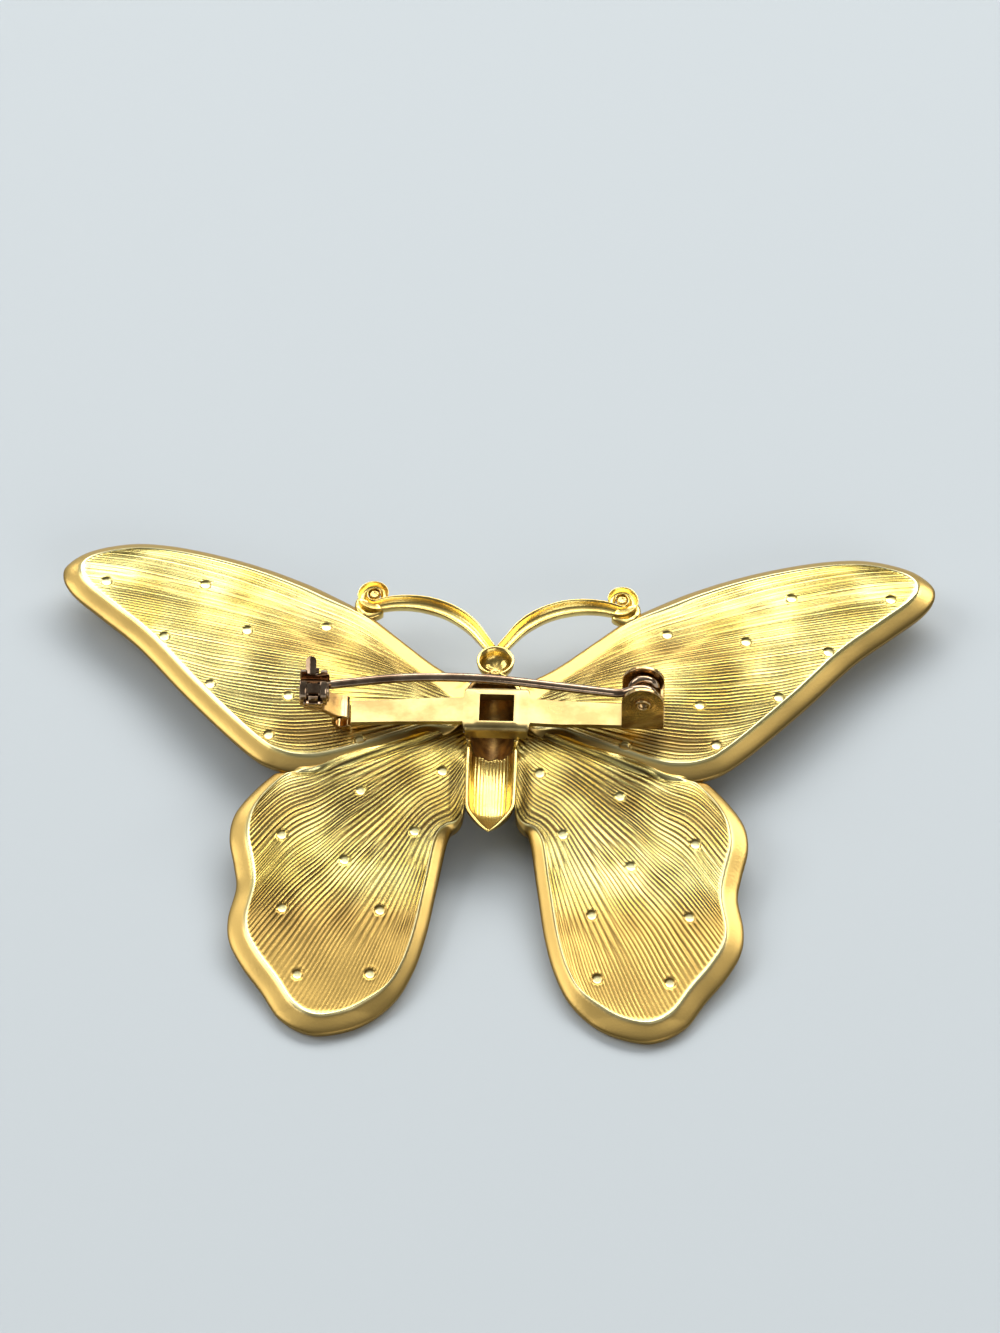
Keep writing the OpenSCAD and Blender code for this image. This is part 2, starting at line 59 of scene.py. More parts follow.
# --- Forewings --------------------------------------------------------------------------------
# Each forewing is stamped from brass sheet and gold plated. A raised crease line frames a field
# of fine cut hatching that fans out of the wing's root, and outside it a smooth border slopes
# down to the edge. Nine small pits are punched into each.
notch_y = 0.753
sheet = 0.7
border_w, border_drop = 1.6, 0.7
# The crease's band of wear and painted highlight has the third of these widths.
crease_w, crease_h, wear_and_highlight_w = 0.15, 0.11, 0.17
crown_h, pit_depth = 0.26, 0.13
hatch_pitch = 0.45
half_span, fore_rise = 38.0, 25.6
fore_edge = np.array([
    [0.02, 0.33], [0.14, 0.455], [0.337, 0.729], [0.492, 0.865], [0.658, 0.957],
    [0.811, 1], [0.926, 0.973], [0.987, 0.912], [1, 0.85], [0.974, 0.77],
    [0.903, 0.664], [0.816, 0.535], [0.705, 0.324], [0.563, 0.082], [0.492, 0.008],
    [0.421, -0.012], [0.353, 0.006], [0.218, 0.084], [0.09, 0.17], [0.02, 0.235],
]) * [half_span, fore_rise] + [0, notch_y]
fore_pits = np.array([
    [0.899, 0.81], [0.672, 0.795], [0.76, 0.567], [0.571, 0.59], [0.65, 0.358],
    [0.39, 0.61], [0.47, 0.304], [0.511, 0.136], [0.302, 0.115],
]) * [half_span, fore_rise] + [0, notch_y]


def smooth(low, high, x):
    """0 below low, 1 above high, and an S-shaped cubic between."""
    t = np.clip((x - low) / (high - low), 0, 1)
    return t * t * (3 - 2 * t)


def grain(x, y, seed):
    """Smooth random heights between -1 and 1 over the plane: random values on whole numbers,
    joined by S-shaped cubics."""
    table = np.random.default_rng(seed).uniform(-1, 1, (256, 256))
    ix, iy = np.floor(x).astype(int), np.floor(y).astype(int)
    fx, fy = smooth(0, 1, x - ix), smooth(0, 1, y - iy)
    a, b = table[ix % 256, iy % 256], table[(ix + 1) % 256, iy % 256]
    c, d = table[ix % 256, (iy + 1) % 256], table[(ix + 1) % 256, (iy + 1) % 256]
    return (a * (1 - fx) + b * fx) * (1 - fy) + (c * (1 - fx) + d * fx) * fy


def round_curve(points):
    """Closed curve through the points: each span is the cubic whose slope at a point is that of
    the chord between the point's neighbours, in 60 steps."""
    a, b = np.roll(points, 1, 0), points
    c, d = np.roll(points, -1, 0), np.roll(points, -2, 0)
    t = (np.arange(60) / 60)[None, :, None]
    a, b, c, d = (p[:, None, :] for p in (a, b, c, d))
    curve = 0.5 * (2 * b + (c - a) * t + (2 * a - 5 * b + 4 * c - d) * t ** 2
                   + (3 * b - a - 3 * c + d) * t ** 3)
    return curve.reshape(-1, 2)


def walk(curve, start, stop, count):
    """Evenly spaced points along the closed curve between two of its corners, given as numbers
    of the point table."""
    stop = stop if stop > start else stop + len(curve) / 60
    index = np.linspace(start * 60, stop * 60, 2000)
    low = np.floor(index).astype(int)
    part = (index - low)[:, None]
    line = curve[low % len(curve)] * (1 - part) + curve[(low + 1) % len(curve)] * part
    far = np.concatenate([[0], np.cumsum(np.linalg.norm(np.diff(line, axis=0), axis=1))])
    at = np.linspace(0, far[-1], count)
    return np.stack([np.interp(at, far, line[:, k]) for k in (0, 1)], 1)


def blur_round(values, reach):
    """Gaussian average round a closed row of values."""
    k = np.arange(-3 * reach, 3 * reach + 1)
    weight = np.exp(-0.5 * (k / reach) ** 2)
    weight /= weight.sum()
    return sum(w * np.roll(values, -i, 0) for i, w in zip(k, weight))


def inward_normals(loop, reach):
    """Unit vectors that point into a clockwise loop, square to its smoothed direction."""
    along = np.roll(loop, -1, 0) - np.roll(loop, 1, 0)
    along /= np.linalg.norm(along, axis=1)[:, None]
    normal = blur_round(np.stack([along[:, 1], -along[:, 0]], 1), reach)
    return normal / np.linalg.norm(normal, axis=1)[:, None]


def make_piece(name, points, faces, node, slot, material, body="brooch", bevel=0, marks=()):
    """Closed mesh of points in millimetres, which rides on a body; it is turned right side out
    where its volume comes out negative. Marks are named numbers, one for each point."""
    mesh = bpy.data.meshes.new(name)
    mesh.from_pydata((np.asarray(points) * 0.001).tolist(), [], [list(f) for f in faces])
    shell = bmesh.new()
    shell.from_mesh(mesh)
    if shell.calc_volume(signed=True) < 0:
        bmesh.ops.reverse_faces(shell, faces=shell.faces)
    shell.to_mesh(mesh)
    shell.free()
    for mark, values in marks:
        mesh.attributes.new(mark, "FLOAT", "POINT").data.foreach_set("value", values)
    mesh.polygons.foreach_set("use_smooth", np.full(len(mesh.polygons), True))
    mesh.materials.append(material)
    piece = bpy.data.objects.new(name, mesh)
    bpy.context.scene.collection.objects.link(piece)
    if bevel:
        rounding = piece.modifiers.new("rounding", "BEVEL")
        rounding.width, rounding.segments = bevel * 0.001, 2
        rounding.angle_limit = math.radians(40)
        rounding.harden_normals = True
    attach(piece, body)
    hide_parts(node)
    return piece


def body_half(y):
    """Half the width of the body's rim at a place along it."""
    return np.interp(y, [-6.6, -6.2, -5.6, -4.9, -4.2, -3.6, 0, 3, 5, 7.65, 9.5, 10.8, 11.5, 12],
                     [0, 0.5, 1.0, 1.5, 1.95, 2.16, 2.22, 2.2, 2.45, 2.7, 2.4, 1.5, 0.4, 0])


def beside_body(flat):
    """Draws a wing's root out to the body's wall: what lies nearer to the middle line than a
    millimetre outside the wall is squeezed between there and just inside the wall, by a power
    of its distance that meets the rest of the wing without a jump in slope."""
    wall = body_half(flat[..., 1])
    share = np.clip(flat[..., 0] / (wall + 1), 0, 1) ** ((wall + 1) / 1.35)
    x = np.where(flat[..., 0] < wall + 1, wall - 0.35 + 1.35 * share, flat[..., 0])
    return np.stack([x, flat[..., 1]], -1)


def wing_grid(edge, corners, along, across, framed):
    """Lays a wing out flat: its outline and crease as closed loops that run from the root up one
    side, round the tip, back along the other side and across the root, and the field inside
    the crease as a grid blended from those four sides (a Coons patch). The border is a third
    as wide where the wing has no crease."""
    curve = round_curve(edge)
    sides = [walk(curve, corners[k], corners[(k + 1) % 4], along if k % 2 == 0 else across)
             for k in range(4)]
    loop = np.concatenate([side[:-1] for side in sides])
    root_near = smooth(0.2, 3.5, loop[:, 0] - body_half(loop[:, 1]))
    normal = inward_normals(loop, 9)
    narrow = 0.35 * smooth(0.2, 0.8, -normal[:, 1]) + 0.3 * smooth(0.6, 0.95, normal[:, 0])
    width = border_w * (0.12 + 0.88 * root_near) * (1 - narrow)
    width = width * (0.3 + 0.7 * framed(loop[:, 0], loop[:, 1]))
    crease = blur_round(loop + normal * width[:, None], 3)
    top = crease[:along]
    tip = crease[along - 1:along + across - 1]
    low = crease[along + across - 2:2 * along + across - 2][::-1]
    root = np.concatenate([crease[2 * along + across - 3:], crease[:1]])[::-1]
    s = np.linspace(0, 1, along)[:, None, None]
    v = np.linspace(0, 1, across)[None, :, None]
    field = ((1 - v) * top[:, None] + v * low[:, None]
             + (1 - s) * root[None] + s * tip[None]
             - (1 - s) * (1 - v) * root[0] - (1 - s) * v * root[-1]
             - s * (1 - v) * tip[0] - s * v * tip[-1])
    return beside_body(loop), beside_body(crease), beside_body(field)


def nearest_pit(x, y, pits):
    """Distance to the nearest pit's middle."""
    return np.min([np.hypot(x - px, y - py) for px, py in pits], axis=0)


def pit_dents(x, y, pits, depth):
    """Round punched pits: a flat floor, a steep wall, and a thin lip pushed up round it."""
    far = nearest_pit(x, y, pits)
    return 0.02 * np.exp(-((far - 0.66) / 0.14) ** 2) - depth * (1 - smooth(0.3, 0.56, far))


def wing_mesh(edge, corners, surface, pits, seed, along, across, hatched, framed, paint_reflection, shade):
    """Watertight wing: the field, the border's rings outside the crease, the tucked edge, and
    the plain front, whose rings close on the wing's middle line. Besides the points and faces
    it gives marks: how far round the fan a point lies (fan), how many times the lines have
    split there (splits), how deep they are cut (hatch), where dark brown reflections are
    painted (painted_reflection), painted shadows, a darker plain strip and a painted dark
    reflection along the wing's edge (dark), the crease's wear and painted highlight
    (wear_and_highlight), the satin border, rougher and darkened as painted shade
    (satin_and_shade), and 1 less the distance to a pit (pit)."""
    loop, crease, field = wing_grid(edge, corners, along, across, framed)
    n = len(loop)
    outward = loop - crease
    x, y = field[..., 0], field[..., 1]
    s = np.linspace(0, 1, along)[:, None]
    v = np.linspace(0, 1, across)[None, :]
    width = np.linalg.norm(field[:, 0] - field[:, -1], axis=1)[:, None]
    length = np.linalg.norm(np.diff(field[:, across // 2], axis=0), axis=1).sum()
    from_crease = np.minimum(np.minimum(v, 1 - v) * width, np.minimum(s + 0 * v, 1 - s) * length)
    crown = crown_h * np.sin(np.pi * v) * smooth(0, 0.25, s) * smooth(0, 0.25, 1 - s)
    spread = np.linalg.norm(np.gradient(field, 1 / (across - 1), axis=1), axis=2)
    splits = np.log2(np.maximum(spread, 1) / (8 * hatch_pitch)) + 0.15 * grain(x / 6, y / 6, seed)
    fan = 8 * v + 0.02 * grain(x / 4, y / 4, seed + 1) + 0.006 * grain(x / 1.2, y / 1.2, seed + 2)
    hatch = (hatched(x, y) * smooth(0.1, 0.45, from_crease)
             * (0.8 + 0.35 * grain(x / 2.5, y / 2.5, seed + 3))
             * smooth(0.45, 0.6, nearest_pit(x, y, pits)))
    z = (surface(x, y) + crown + framed(x, y) * crease_h * np.exp(-(from_crease / crease_w) ** 2)
         + 0.03 * grain(x / 3, y / 3, seed + 7) * smooth(0.3, 1.5, from_crease)
         + pit_dents(x, y, pits, pit_depth))
    points = [np.dstack([field, z]).reshape(-1, 3)]
    grid = np.arange(along * across).reshape(along, across)
    quads = [np.stack([grid[:-1, :-1], grid[1:, :-1], grid[1:, 1:], grid[:-1, 1:]],
                      -1).reshape(-1, 4)]
    rim = np.concatenate([grid[:-1, 0], grid[-1, :-1], grid[::-1, -1][:-1], grid[0, ::-1][:-1]])
    base = surface(loop[:, 0], loop[:, 1])
    # Border rings, by their share of the way out
    rings, ring_wear_and_highlight = [], []
    for q in (0.04, 0.08, 0.13, 0.2, 0.3, 0.42, 0.55, 0.68, 0.8, 0.89, 0.955, 0.99):
        flat = crease + outward * q
        there = framed(flat[:, 0], flat[:, 1])
        # The crease's wear and painted highlight runs onto the first rings.
        ring_wear_and_highlight.append(there * np.exp(-(q * border_w / wear_and_highlight_w) ** 2))
        height = (surface(flat[:, 0], flat[:, 1])
                  + crease_h * there * np.exp(-(q * border_w / crease_w) ** 2)
                  - border_drop * (0.25 + 0.75 * there)
                  * (0.7 * q + 0.3 * (1 - np.sqrt(1 - (0.98 * q) ** 5)) / 0.8)
                  + 0.015 * grain(flat[:, 0] / 2, flat[:, 1] / 2, seed + 9))
        rings.append(np.column_stack([flat, height]))
    edge_z = rings[-1][:, 2]
    low_z = np.minimum(base - border_drop - sheet, edge_z - 0.2)
    for q, part in ((0.995, 0.2), (0.96, 0.5), (0.88, 0.8), (0.78, 1.0)):
        flat = crease + outward * q
        rings.append(np.column_stack([flat, edge_z + (low_z - edge_z) * part]))
    # The front, ring by ring from the edge to the wing's middle line
    middle = 0.5 * (field[:, 0] + field[:, -1])
    spot = np.concatenate([np.arange(along - 1), np.full(across - 1, along - 1),
                           np.arange(along - 1, 0, -1), np.zeros(across - 1, int)])
    start = crease + outward * 0.78
    start_z = rings[-1][:, 2]
    for q in np.linspace(0, 1, 22)[1:-1]:
        flat = start * (1 - q) + middle[spot] * q
        deep = surface(flat[:, 0], flat[:, 1]) - sheet + 0.2 * q
        roll = smooth(0, 0.22, q)
        bump = 0.8 * pit_dents(flat[:, 0], flat[:, 1], pits, 0.3)
        rings.append(np.column_stack([flat, start_z * (1 - roll) + deep * roll + bump]))
    last = rim
    total = along * across
    for ring in rings:
        here = total + np.arange(n)
        quads.append(np.stack([last, np.roll(last, -1), np.roll(here, -1), here], -1)[:, ::-1])
        points.append(ring)
        last = here
        total += n
    mid_z = surface(middle[:, 0], middle[:, 1]) - sheet + 0.2
    points.append(np.column_stack([middle, mid_z]))
    here = total + spot
    quads.append(np.stack([last, np.roll(last, -1), np.roll(here, -1), here], -1)[:, ::-1])
    faces = [list(dict.fromkeys(q)) for q in np.concatenate(quads).tolist()]
    points = np.concatenate(points)
    pit_far = nearest_pit(x, y, pits)
    # The crease's ridge, partly worn bright and partly a painted highlight.
    wear_and_highlight = framed(x, y) * np.exp(-(from_crease / wear_and_highlight_w) ** 2)
    wear_and_highlight = np.concatenate([wear_and_highlight.ravel(), *ring_wear_and_highlight])
    # The satin border is rougher, and its colour is darkened as painted shade.
    satin_and_shade = np.ones(len(points))
    satin_and_shade[:fan.size + 4 * n] = np.repeat([0, 0, 0.1, 0.4, 0.8], [fan.size, n, n, n, n])
    dark = shade(points[:, 0], points[:, 1])
    # A painted dark reflection along the rolled-down edge of the wing.
    edge_line = slice(fan.size + 9 * n, fan.size + 14 * n)
    dark[edge_line] = np.maximum(dark[edge_line], np.repeat([0.15, 0.5, 0.65, 0.5, 0.3], n))
    marks = [(name, np.concatenate([mark.ravel(), np.zeros(len(points) - mark.size)]))
             for name, mark in (("fan", fan), ("splits", splits), ("hatch", hatch),
                                ("painted_reflection", paint_reflection(points[:, 0], points[:, 1])),
                                ("wear_and_highlight", wear_and_highlight), ("satin_and_shade", satin_and_shade), ("dark", dark),
                                ("pit", np.maximum(0, 1 - pit_far)))]
    return points, [f for f in faces if len(f) > 2], marks


def add_node(nodes, kind, **values):
    """Adds a shader node and sets its inputs, in whose names _ stands for a space."""
    node = nodes.new(kind)
    for socket, value in values.items():
        node.inputs[socket.replace("_", " ")].default_value = value
    return node


def worn_gold(name, light, dark, rough, cloud_scale, bump_scale, bump_depth):
    """Worn gilt metal: two tones in soft patches, cloudy roughness and fine scratches. Gives the
    material."""
    material = bpy.data.materials.new(name)
    material.use_nodes = True
    nodes, links = material.node_tree.nodes, material.node_tree.links
    shader = nodes["Principled BSDF"]
    shader.inputs["Metallic"].default_value = 1.0
    place = nodes.new("ShaderNodeTexCoord")
    cloud = add_node(nodes, "ShaderNodeTexNoise", Scale=cloud_scale, Detail=5, Roughness=0.6)
    links.new(place.outputs["Object"], cloud.inputs["Vector"])
    tone = nodes.new("ShaderNodeValToRGB")
    for stop, at, colour in zip(tone.color_ramp.elements, (0.38, 0.6), (dark, light)):
        stop.position, stop.color = at, (*colour, 1)
    links.new(cloud.outputs["Fac"], tone.inputs["Fac"])
    links.new(tone.outputs["Color"], shader.inputs["Base Color"])
    fine = add_node(nodes, "ShaderNodeTexNoise", Scale=bump_scale, Detail=3)
    links.new(place.outputs["Object"], fine.inputs["Vector"])
    gloss = add_node(nodes, "ShaderNodeMapRange", To_Min=rough * 0.7, To_Max=rough * 1.4)
    links.new(cloud.outputs["Fac"], gloss.inputs["Value"])
    links.new(gloss.outputs["Result"], shader.inputs["Roughness"])
    bump = add_node(nodes, "ShaderNodeBump", Strength=0.5, Distance=bump_depth)
    bump.name = "scratches"
    links.new(fine.outputs["Fac"], bump.inputs["Height"])
    links.new(bump.outputs["Normal"], shader.inputs["Normal"])
    return material


def cut_hatching(material, groove, depth):
    """Adds a wing's marks to a gold. The hatching is a cosine across the fan's lines, whose
    number doubles with every split, with streaks of noise that run along them; its height goes
    to a bump, and its grooves are darker."""
    nodes, links = material.node_tree.nodes, material.node_tree.links

    def read(mark):
        node = nodes.new("ShaderNodeAttribute")
        node.attribute_name = mark
        return node.outputs["Fac"]

    def sum_up(kind, a, b=0.0, c=0.0, clamp=False):
        node = nodes.new("ShaderNodeMath")
        node.operation, node.use_clamp = kind, clamp
        for socket, value in zip(node.inputs, (a, b, c)):
            if isinstance(value, float):
                socket.default_value = value
            else:
                links.new(value, socket)
        return node.outputs[0]

    shader = nodes["Principled BSDF"]

    def tint(share, colour):
        """Draws the base colour toward another by a share."""
        node = nodes.new("ShaderNodeMix")
        node.data_type = "RGBA"
        links.new(share, node.inputs["Factor"])
        links.new(shader.inputs["Base Color"].links[0].from_socket, node.inputs[6])
        node.inputs[7].default_value = (*colour, 1)
        links.new(node.outputs[2], shader.inputs["Base Color"])

    fan, splits, hatch = read("fan"), read("splits"), read("hatch")
    height = 0.0
    for level in range(5):
        away = sum_up("ABSOLUTE", sum_up("SUBTRACT", splits, float(level)))
        share = sum_up("MULTIPLY_ADD", away, -4.0, 2.5, clamp=True)
        wave = sum_up("COSINE", sum_up("MULTIPLY", fan, 2 * math.pi * 2 ** level))
        wave = sum_up("MULTIPLY_ADD", wave, 0.5, 0.5)
        height = sum_up("MULTIPLY_ADD", wave, share, height)
    height = sum_up("MINIMUM", height, 1.0)
    streaks = add_node(nodes, "ShaderNodeTexNoise", Scale=11, Detail=4, Roughness=0.7)
    streaks.noise_dimensions = "1D"
    links.new(fan, streaks.inputs["W"])
    uneven = sum_up("SUBTRACT", streaks.outputs["Fac"], 0.5)
    hatch = sum_up("MULTIPLY", hatch, sum_up("MULTIPLY_ADD", uneven, 1.5, 1.0))
    height = sum_up("MULTIPLY_ADD", uneven, 0.2, height)
    dark = sum_up("MULTIPLY", sum_up("SUBTRACT", 0.95, height, clamp=True), 1.25)
    dark = sum_up("MULTIPLY", dark, hatch, clamp=True)
    # The dark mark adds the painted shadows, the darker plain strip and the painted dark edge
    # line.
    dark = sum_up("MAXIMUM", dark, sum_up("MULTIPLY", read("dark"), 0.85))
    pit = read("pit")
    # Painted shade on each pit's wall, and a painted highlight on its floor.
    pit_wall = sum_up("ABSOLUTE", sum_up("SUBTRACT", pit, 0.53))
    pit_wall = sum_up("MULTIPLY_ADD", pit_wall, -9.0, 1.0, clamp=True)
    dark = sum_up("MAXIMUM", dark, sum_up("MULTIPLY", pit_wall, 0.8))
    pit_floor = sum_up("MULTIPLY_ADD", pit, 12.0, -7.2, clamp=True)
    wear_and_highlight = sum_up("MAXIMUM", read("wear_and_highlight"), sum_up("MULTIPLY", pit_floor, 0.8))
    # Painted dark brown reflections.
    tint(read("painted_reflection"), (0.68, 0.44, 0.12))
    # The satin border's colour, darkened as painted shade.
    tint(read("satin_and_shade"), (0.56, 0.37, 0.11))
    # The crease's wear and painted highlight, and the painted highlight on the pit floors.
    tint(wear_and_highlight, (1, 0.9, 0.48))
    # The darker grooves, with the painted shadows, the painted edge line and the pit walls'
    # painted shade.
    tint(dark, groove)
    gloss = shader.inputs["Roughness"].links[0].from_socket
    gloss = sum_up("MULTIPLY_ADD", read("satin_and_shade"), 0.1, gloss)
    gloss = sum_up("MULTIPLY_ADD", read("painted_reflection"), 0.08, gloss)
    gloss = sum_up("MULTIPLY_ADD", wear_and_highlight, 0.08, gloss)
    links.new(gloss, shader.inputs["Roughness"])
    bump = add_node(nodes, "ShaderNodeBump", Strength=1.0, Distance=depth)
    links.new(sum_up("MULTIPLY", height, hatch), bump.inputs["Height"])
    links.new(nodes["scratches"].outputs["Normal"], bump.inputs["Normal"])
    links.new(bump.outputs["Normal"], shader.inputs["Normal"])
    return material


wing_gold = cut_hatching(
    worn_gold("wing_gold", (0.98, 0.84, 0.31), (0.92, 0.7, 0.17), 0.2, 150, 4000, 0.00002),
    (0.12, 0.065, 0.015), 0.00007)


def root_lift(x, y, z, level):
    """Lets a wing rise to the body's rim over its last millimetre and a half."""
    near = 1 - smooth(0, 1.5, np.abs(x) - body_half(y))
    return z + np.maximum(0, level - z) * near


def fore_surface(x, y):
    """A plane that falls evenly from the body to the wing's tip."""
    return root_lift(x, y, 4.6 - 0.9 * np.abs(x) / half_span, 4.78)


def plain_strip(x, y):
    """1 on the inner upper edge beside the body, which is left plain, and 0 elsewhere."""
    beside = (y - notch_y) / fore_rise - 0.14 - 1.5 * x / half_span
    return smooth(0.0, 0.03, beside) * (1 - smooth(9, 14, x))


def fore_hatched(x, y):
    """Where the forewing is hatched; over its upper half the cut is shallower and the grooves
    paler, a painted highlight.
    """
    return (1 - plain_strip(x, y)) * (1 - 0.35 * smooth(9, 16, y))


def fore_framed(x, y):
    """The crease fades out along the plain strip."""
    upper = smooth(0.3, 0.36, (y - notch_y) / fore_rise - 0.2 * x / half_span)
    return (1 - upper * (1 - smooth(10, 15, x))) * smooth(0.2, 2, x - body_half(y))


def patch(x, y, at, wide, high):
    """Soft oval patch, 1 at its middle."""
    return np.exp(-((x - at[0]) / wide) ** 2 - ((y - at[1]) / high) ** 2)


def fore_painted_reflection(x, y):
    """Painted dark brown reflections across the middle and at the bar; the plain strip is browner.
    """
    return np.clip(0.8 * patch(x, y, (16, 14.6), 7, 2) + 0.9 * patch(x, y, (15, 4.3), 6, 1.8)
                   + 0.7 * patch(x, y, (8, 12), 4, 2.2) + 0.9 * plain_strip(x, y), 0, 1)


def fore_shade(x, y):
    """Painted shadow of the bar on the wing below it, and a darker tint on the plain strip."""
    return np.clip(patch(x, y, (7, 4.2), 5.5, 1.1) + 0.3 * plain_strip(x, y), 0, 1)


fore_points, fore_faces, fore_marks = wing_mesh(
    fore_edge, (0, 5.2, 13.2, 19), fore_surface, fore_pits, 11, 210, 200,
    fore_hatched, fore_framed, fore_painted_reflection, fore_shade)


def wing_pair(name, points, faces, marks, material):
    """A right wing and its mirror image."""
    for side, end in ((1, "_right"), (-1, "_left")):
        make_piece(name + end, points * [side, 1, 1], faces, "butterfly", "gold_plate", material,
                   marks=marks)


wing_pair("forewing", fore_points, fore_faces, fore_marks, wing_gold)

# --- Hindwings --------------------------------------------------------------------------------
# The hindwings are pressed in the same sheet, a step lower, and slope down to rounded tails. The
# forewing's border overhangs them with a dark groove along the seam.
hind_spread, hind_reach = 22.45, 27.05
hind_edge = np.array([
    [0.825, 0], [0.92, 0.085], [0.984, 0.17], [1, 0.26], [0.978, 0.366],
    [0.967, 0.45], [0.993, 0.565], [0.984, 0.655], [0.93, 0.748], [0.855, 0.84],
    [0.785, 0.935], [0.695, 0.99], [0.6, 1], [0.463, 0.96], [0.343, 0.868],
    [0.272, 0.75], [0.227, 0.61], [0.191, 0.425], [0.151, 0.23], [0.09, 0.175],
    [0.02, -0.02], [0.15, -0.19], [0.39, -0.12], [0.62, -0.05], [0.75, -0.03],
]) * [hind_spread, -hind_reach] + [0, notch_y]
hind_pits = np.array([
    [0.188, 0.006], [0.5, 0.088], [0.797, 0.262], [0.552, 0.356], [0.286, 0.24],
    [0.784, 0.543], [0.408, 0.543], [0.716, 0.79], [0.437, 0.782],
]) * [hind_spread, -hind_reach] + [0, notch_y]
seam = walk(round_curve(fore_edge), 13, 19.5, 160)


def hind_surface(x, y):
    """A step below the forewing, falling toward the tail, with a groove along the seam."""
    fall = np.clip(0.08 - (y - notch_y) / hind_reach, 0, 1)
    shape = np.shape(x)
    near = np.full(np.size(x), 9.0)
    for px, py in seam:
        near = np.minimum(near, np.hypot(np.ravel(x) - px, np.ravel(y) - py))
    groove = 0.3 * np.exp(-(near / 0.3) ** 2)
    plain = root_lift(x, y, 4.25 - 2.85 * fall, 4.72 - 0.5 * smooth(1, 3, y))
    return plain - groove.reshape(shape)


def hind_hatched(x, y):
    """The hatching grows faint toward the tail."""
    return 1 - 0.65 * smooth(12, 22, -y)


def hind_framed(x, y):
    """The crease runs out where it meets the body, and along the seam but for its outer end."""
    seam_side = smooth(-2.6, -1.9, y - 7 + 0.33 * x) * (1 - smooth(13, 16, x))
    return smooth(0.2, 2, x - body_half(y)) * (1 - seam_side)


def hind_painted_reflection(x, y):
    """Painted dark brown reflections toward the tail, at the shoulder and beside the body."""
    return np.clip(smooth(10, 15, -y) + 0.7 * patch(x, y, (18, -3.5), 4, 3)
                   + 0.5 * patch(x, y, (5, -1.5), 3, 3.5), 0, 1)


def hind_shade(x, y):
    """Painted shadow at the root, under the pad."""
    return 0.5 * patch(x, y, (3.5, 4.4), 2, 1)


hind_points, hind_faces, hind_marks = wing_mesh(
    np.roll(hind_edge, -21, 0), (0, 5.2, 18.6, 23.6), hind_surface, hind_pits, 41, 180, 220,
    hind_hatched, hind_framed, hind_painted_reflection, hind_shade)
wing_pair("hindwing", hind_points, hind_faces, hind_marks, wing_gold)

# --- Body -------------------------------------------------------------------------------------
# Thorax and abdomen are hollow pressings, open at the back, with a narrow flat rim. The abdomen's
# floor is ribbed lengthwise, and its upper end is broken off unevenly behind the bar.
body_z = 4.85
body_gold = worn_gold("body_gold", (0.92, 0.72, 0.24), (0.72, 0.49, 0.14), 0.22, 220, 5000,
                      0.00003)


def skin(ring):
    """Points and faces of a closed tube whose rows of points are its rings: quads between the
    rows, and a flat face at both ends."""
    rows, sides = ring.shape[:2]
    grid = np.arange(rows * sides).reshape(rows, sides)
    nxt = np.roll(grid, -1, 1)
    quads = np.stack([grid[:-1], nxt[:-1], nxt[1:], grid[1:]], -1).reshape(-1, 4).tolist()
    return ring.reshape(-1, 3), quads + [grid[0, ::-1].tolist(), grid[-1].tolist()]


def trough(name, stations, rim, hollow, rows, turns, ribs, lining):
    """Boat-shaped hollow: half an ellipse across outside and inside, whose half width and depth
    follow the stations (place along Y, half width, depth); a flat rim joins the two. The ribs
    are a cosine across the inner floor, which takes the lining's material."""
    stations = np.array(stations)
    y = np.linspace(stations[0, 0], stations[-1, 0], rows)
    w, d = (np.interp(y, stations[:, 0], stations[:, k]) for k in (1, 2))
    core = np.arange(2, rows - 2)
    for k in range(3):
        w[core], d[core] = ((q[core - 2] + q[core - 1] + q[core] + q[core + 1] + q[core + 2]) / 5
                            for q in (w, d))
    a = np.linspace(-np.pi / 2, np.pi / 2, turns)
    w, d, y = w[:, None], d[:, None], y[:, None]
    outer = np.stack([w * np.sin(a), y + 0 * a, body_z - d * np.cos(a)], -1)
    w2, d2 = np.maximum(w - rim, 0.02), np.maximum(d - 0.35, 0.02) * hollow
    floor = d2 * np.cos(a) * (1 + ribs * np.cos(13 * np.pi * np.sin(a)) * np.cos(a))
    inner = np.stack([w2 * np.sin(a), y + 0 * a, body_z - 0.03 - floor], -1)
    ring = np.concatenate([outer, inner[:, ::-1]], 1)
    ring[:2, :, 1] += 0.05 * np.sin(7 * ring[:2, :, 0]) * (ribs > 0)
    ring[-2:, :, 1] += 0.12 * np.sin(5.3 * ring[-2:, :, 0]) * (ribs > 0)
    piece = make_piece(name, *skin(ring), "butterfly", "gold_plate", body_gold)
    piece.data.materials.append(lining)
    inner_faces = np.arange(len(piece.data.polygons)) % ring.shape[1] >= turns
    inner_faces[-2:] = False
    piece.data.polygons.foreach_set("material_index", inner_faces.astype(int))


dark_brown_gold = worn_gold("dark_brown_gold", (0.5, 0.3, 0.09), (0.16, 0.085, 0.03), 0.36, 500, 5000,
                        0.00004)
trough("abdomen", [
    [-6.6, 0.1, 0.12], [-6.2, 0.6, 0.5], [-5.6, 1.08, 1.2], [-4.9, 1.55, 1.8], [-4.2, 2.0, 2.4],
    [-3.6, 2.18, 2.7], [-1, 2.22, 3.0], [1, 2.25, 3.1], [2.85, 2.2, 2.95]],
    0.33, 0.66, 70, 61, 0.05, body_gold)
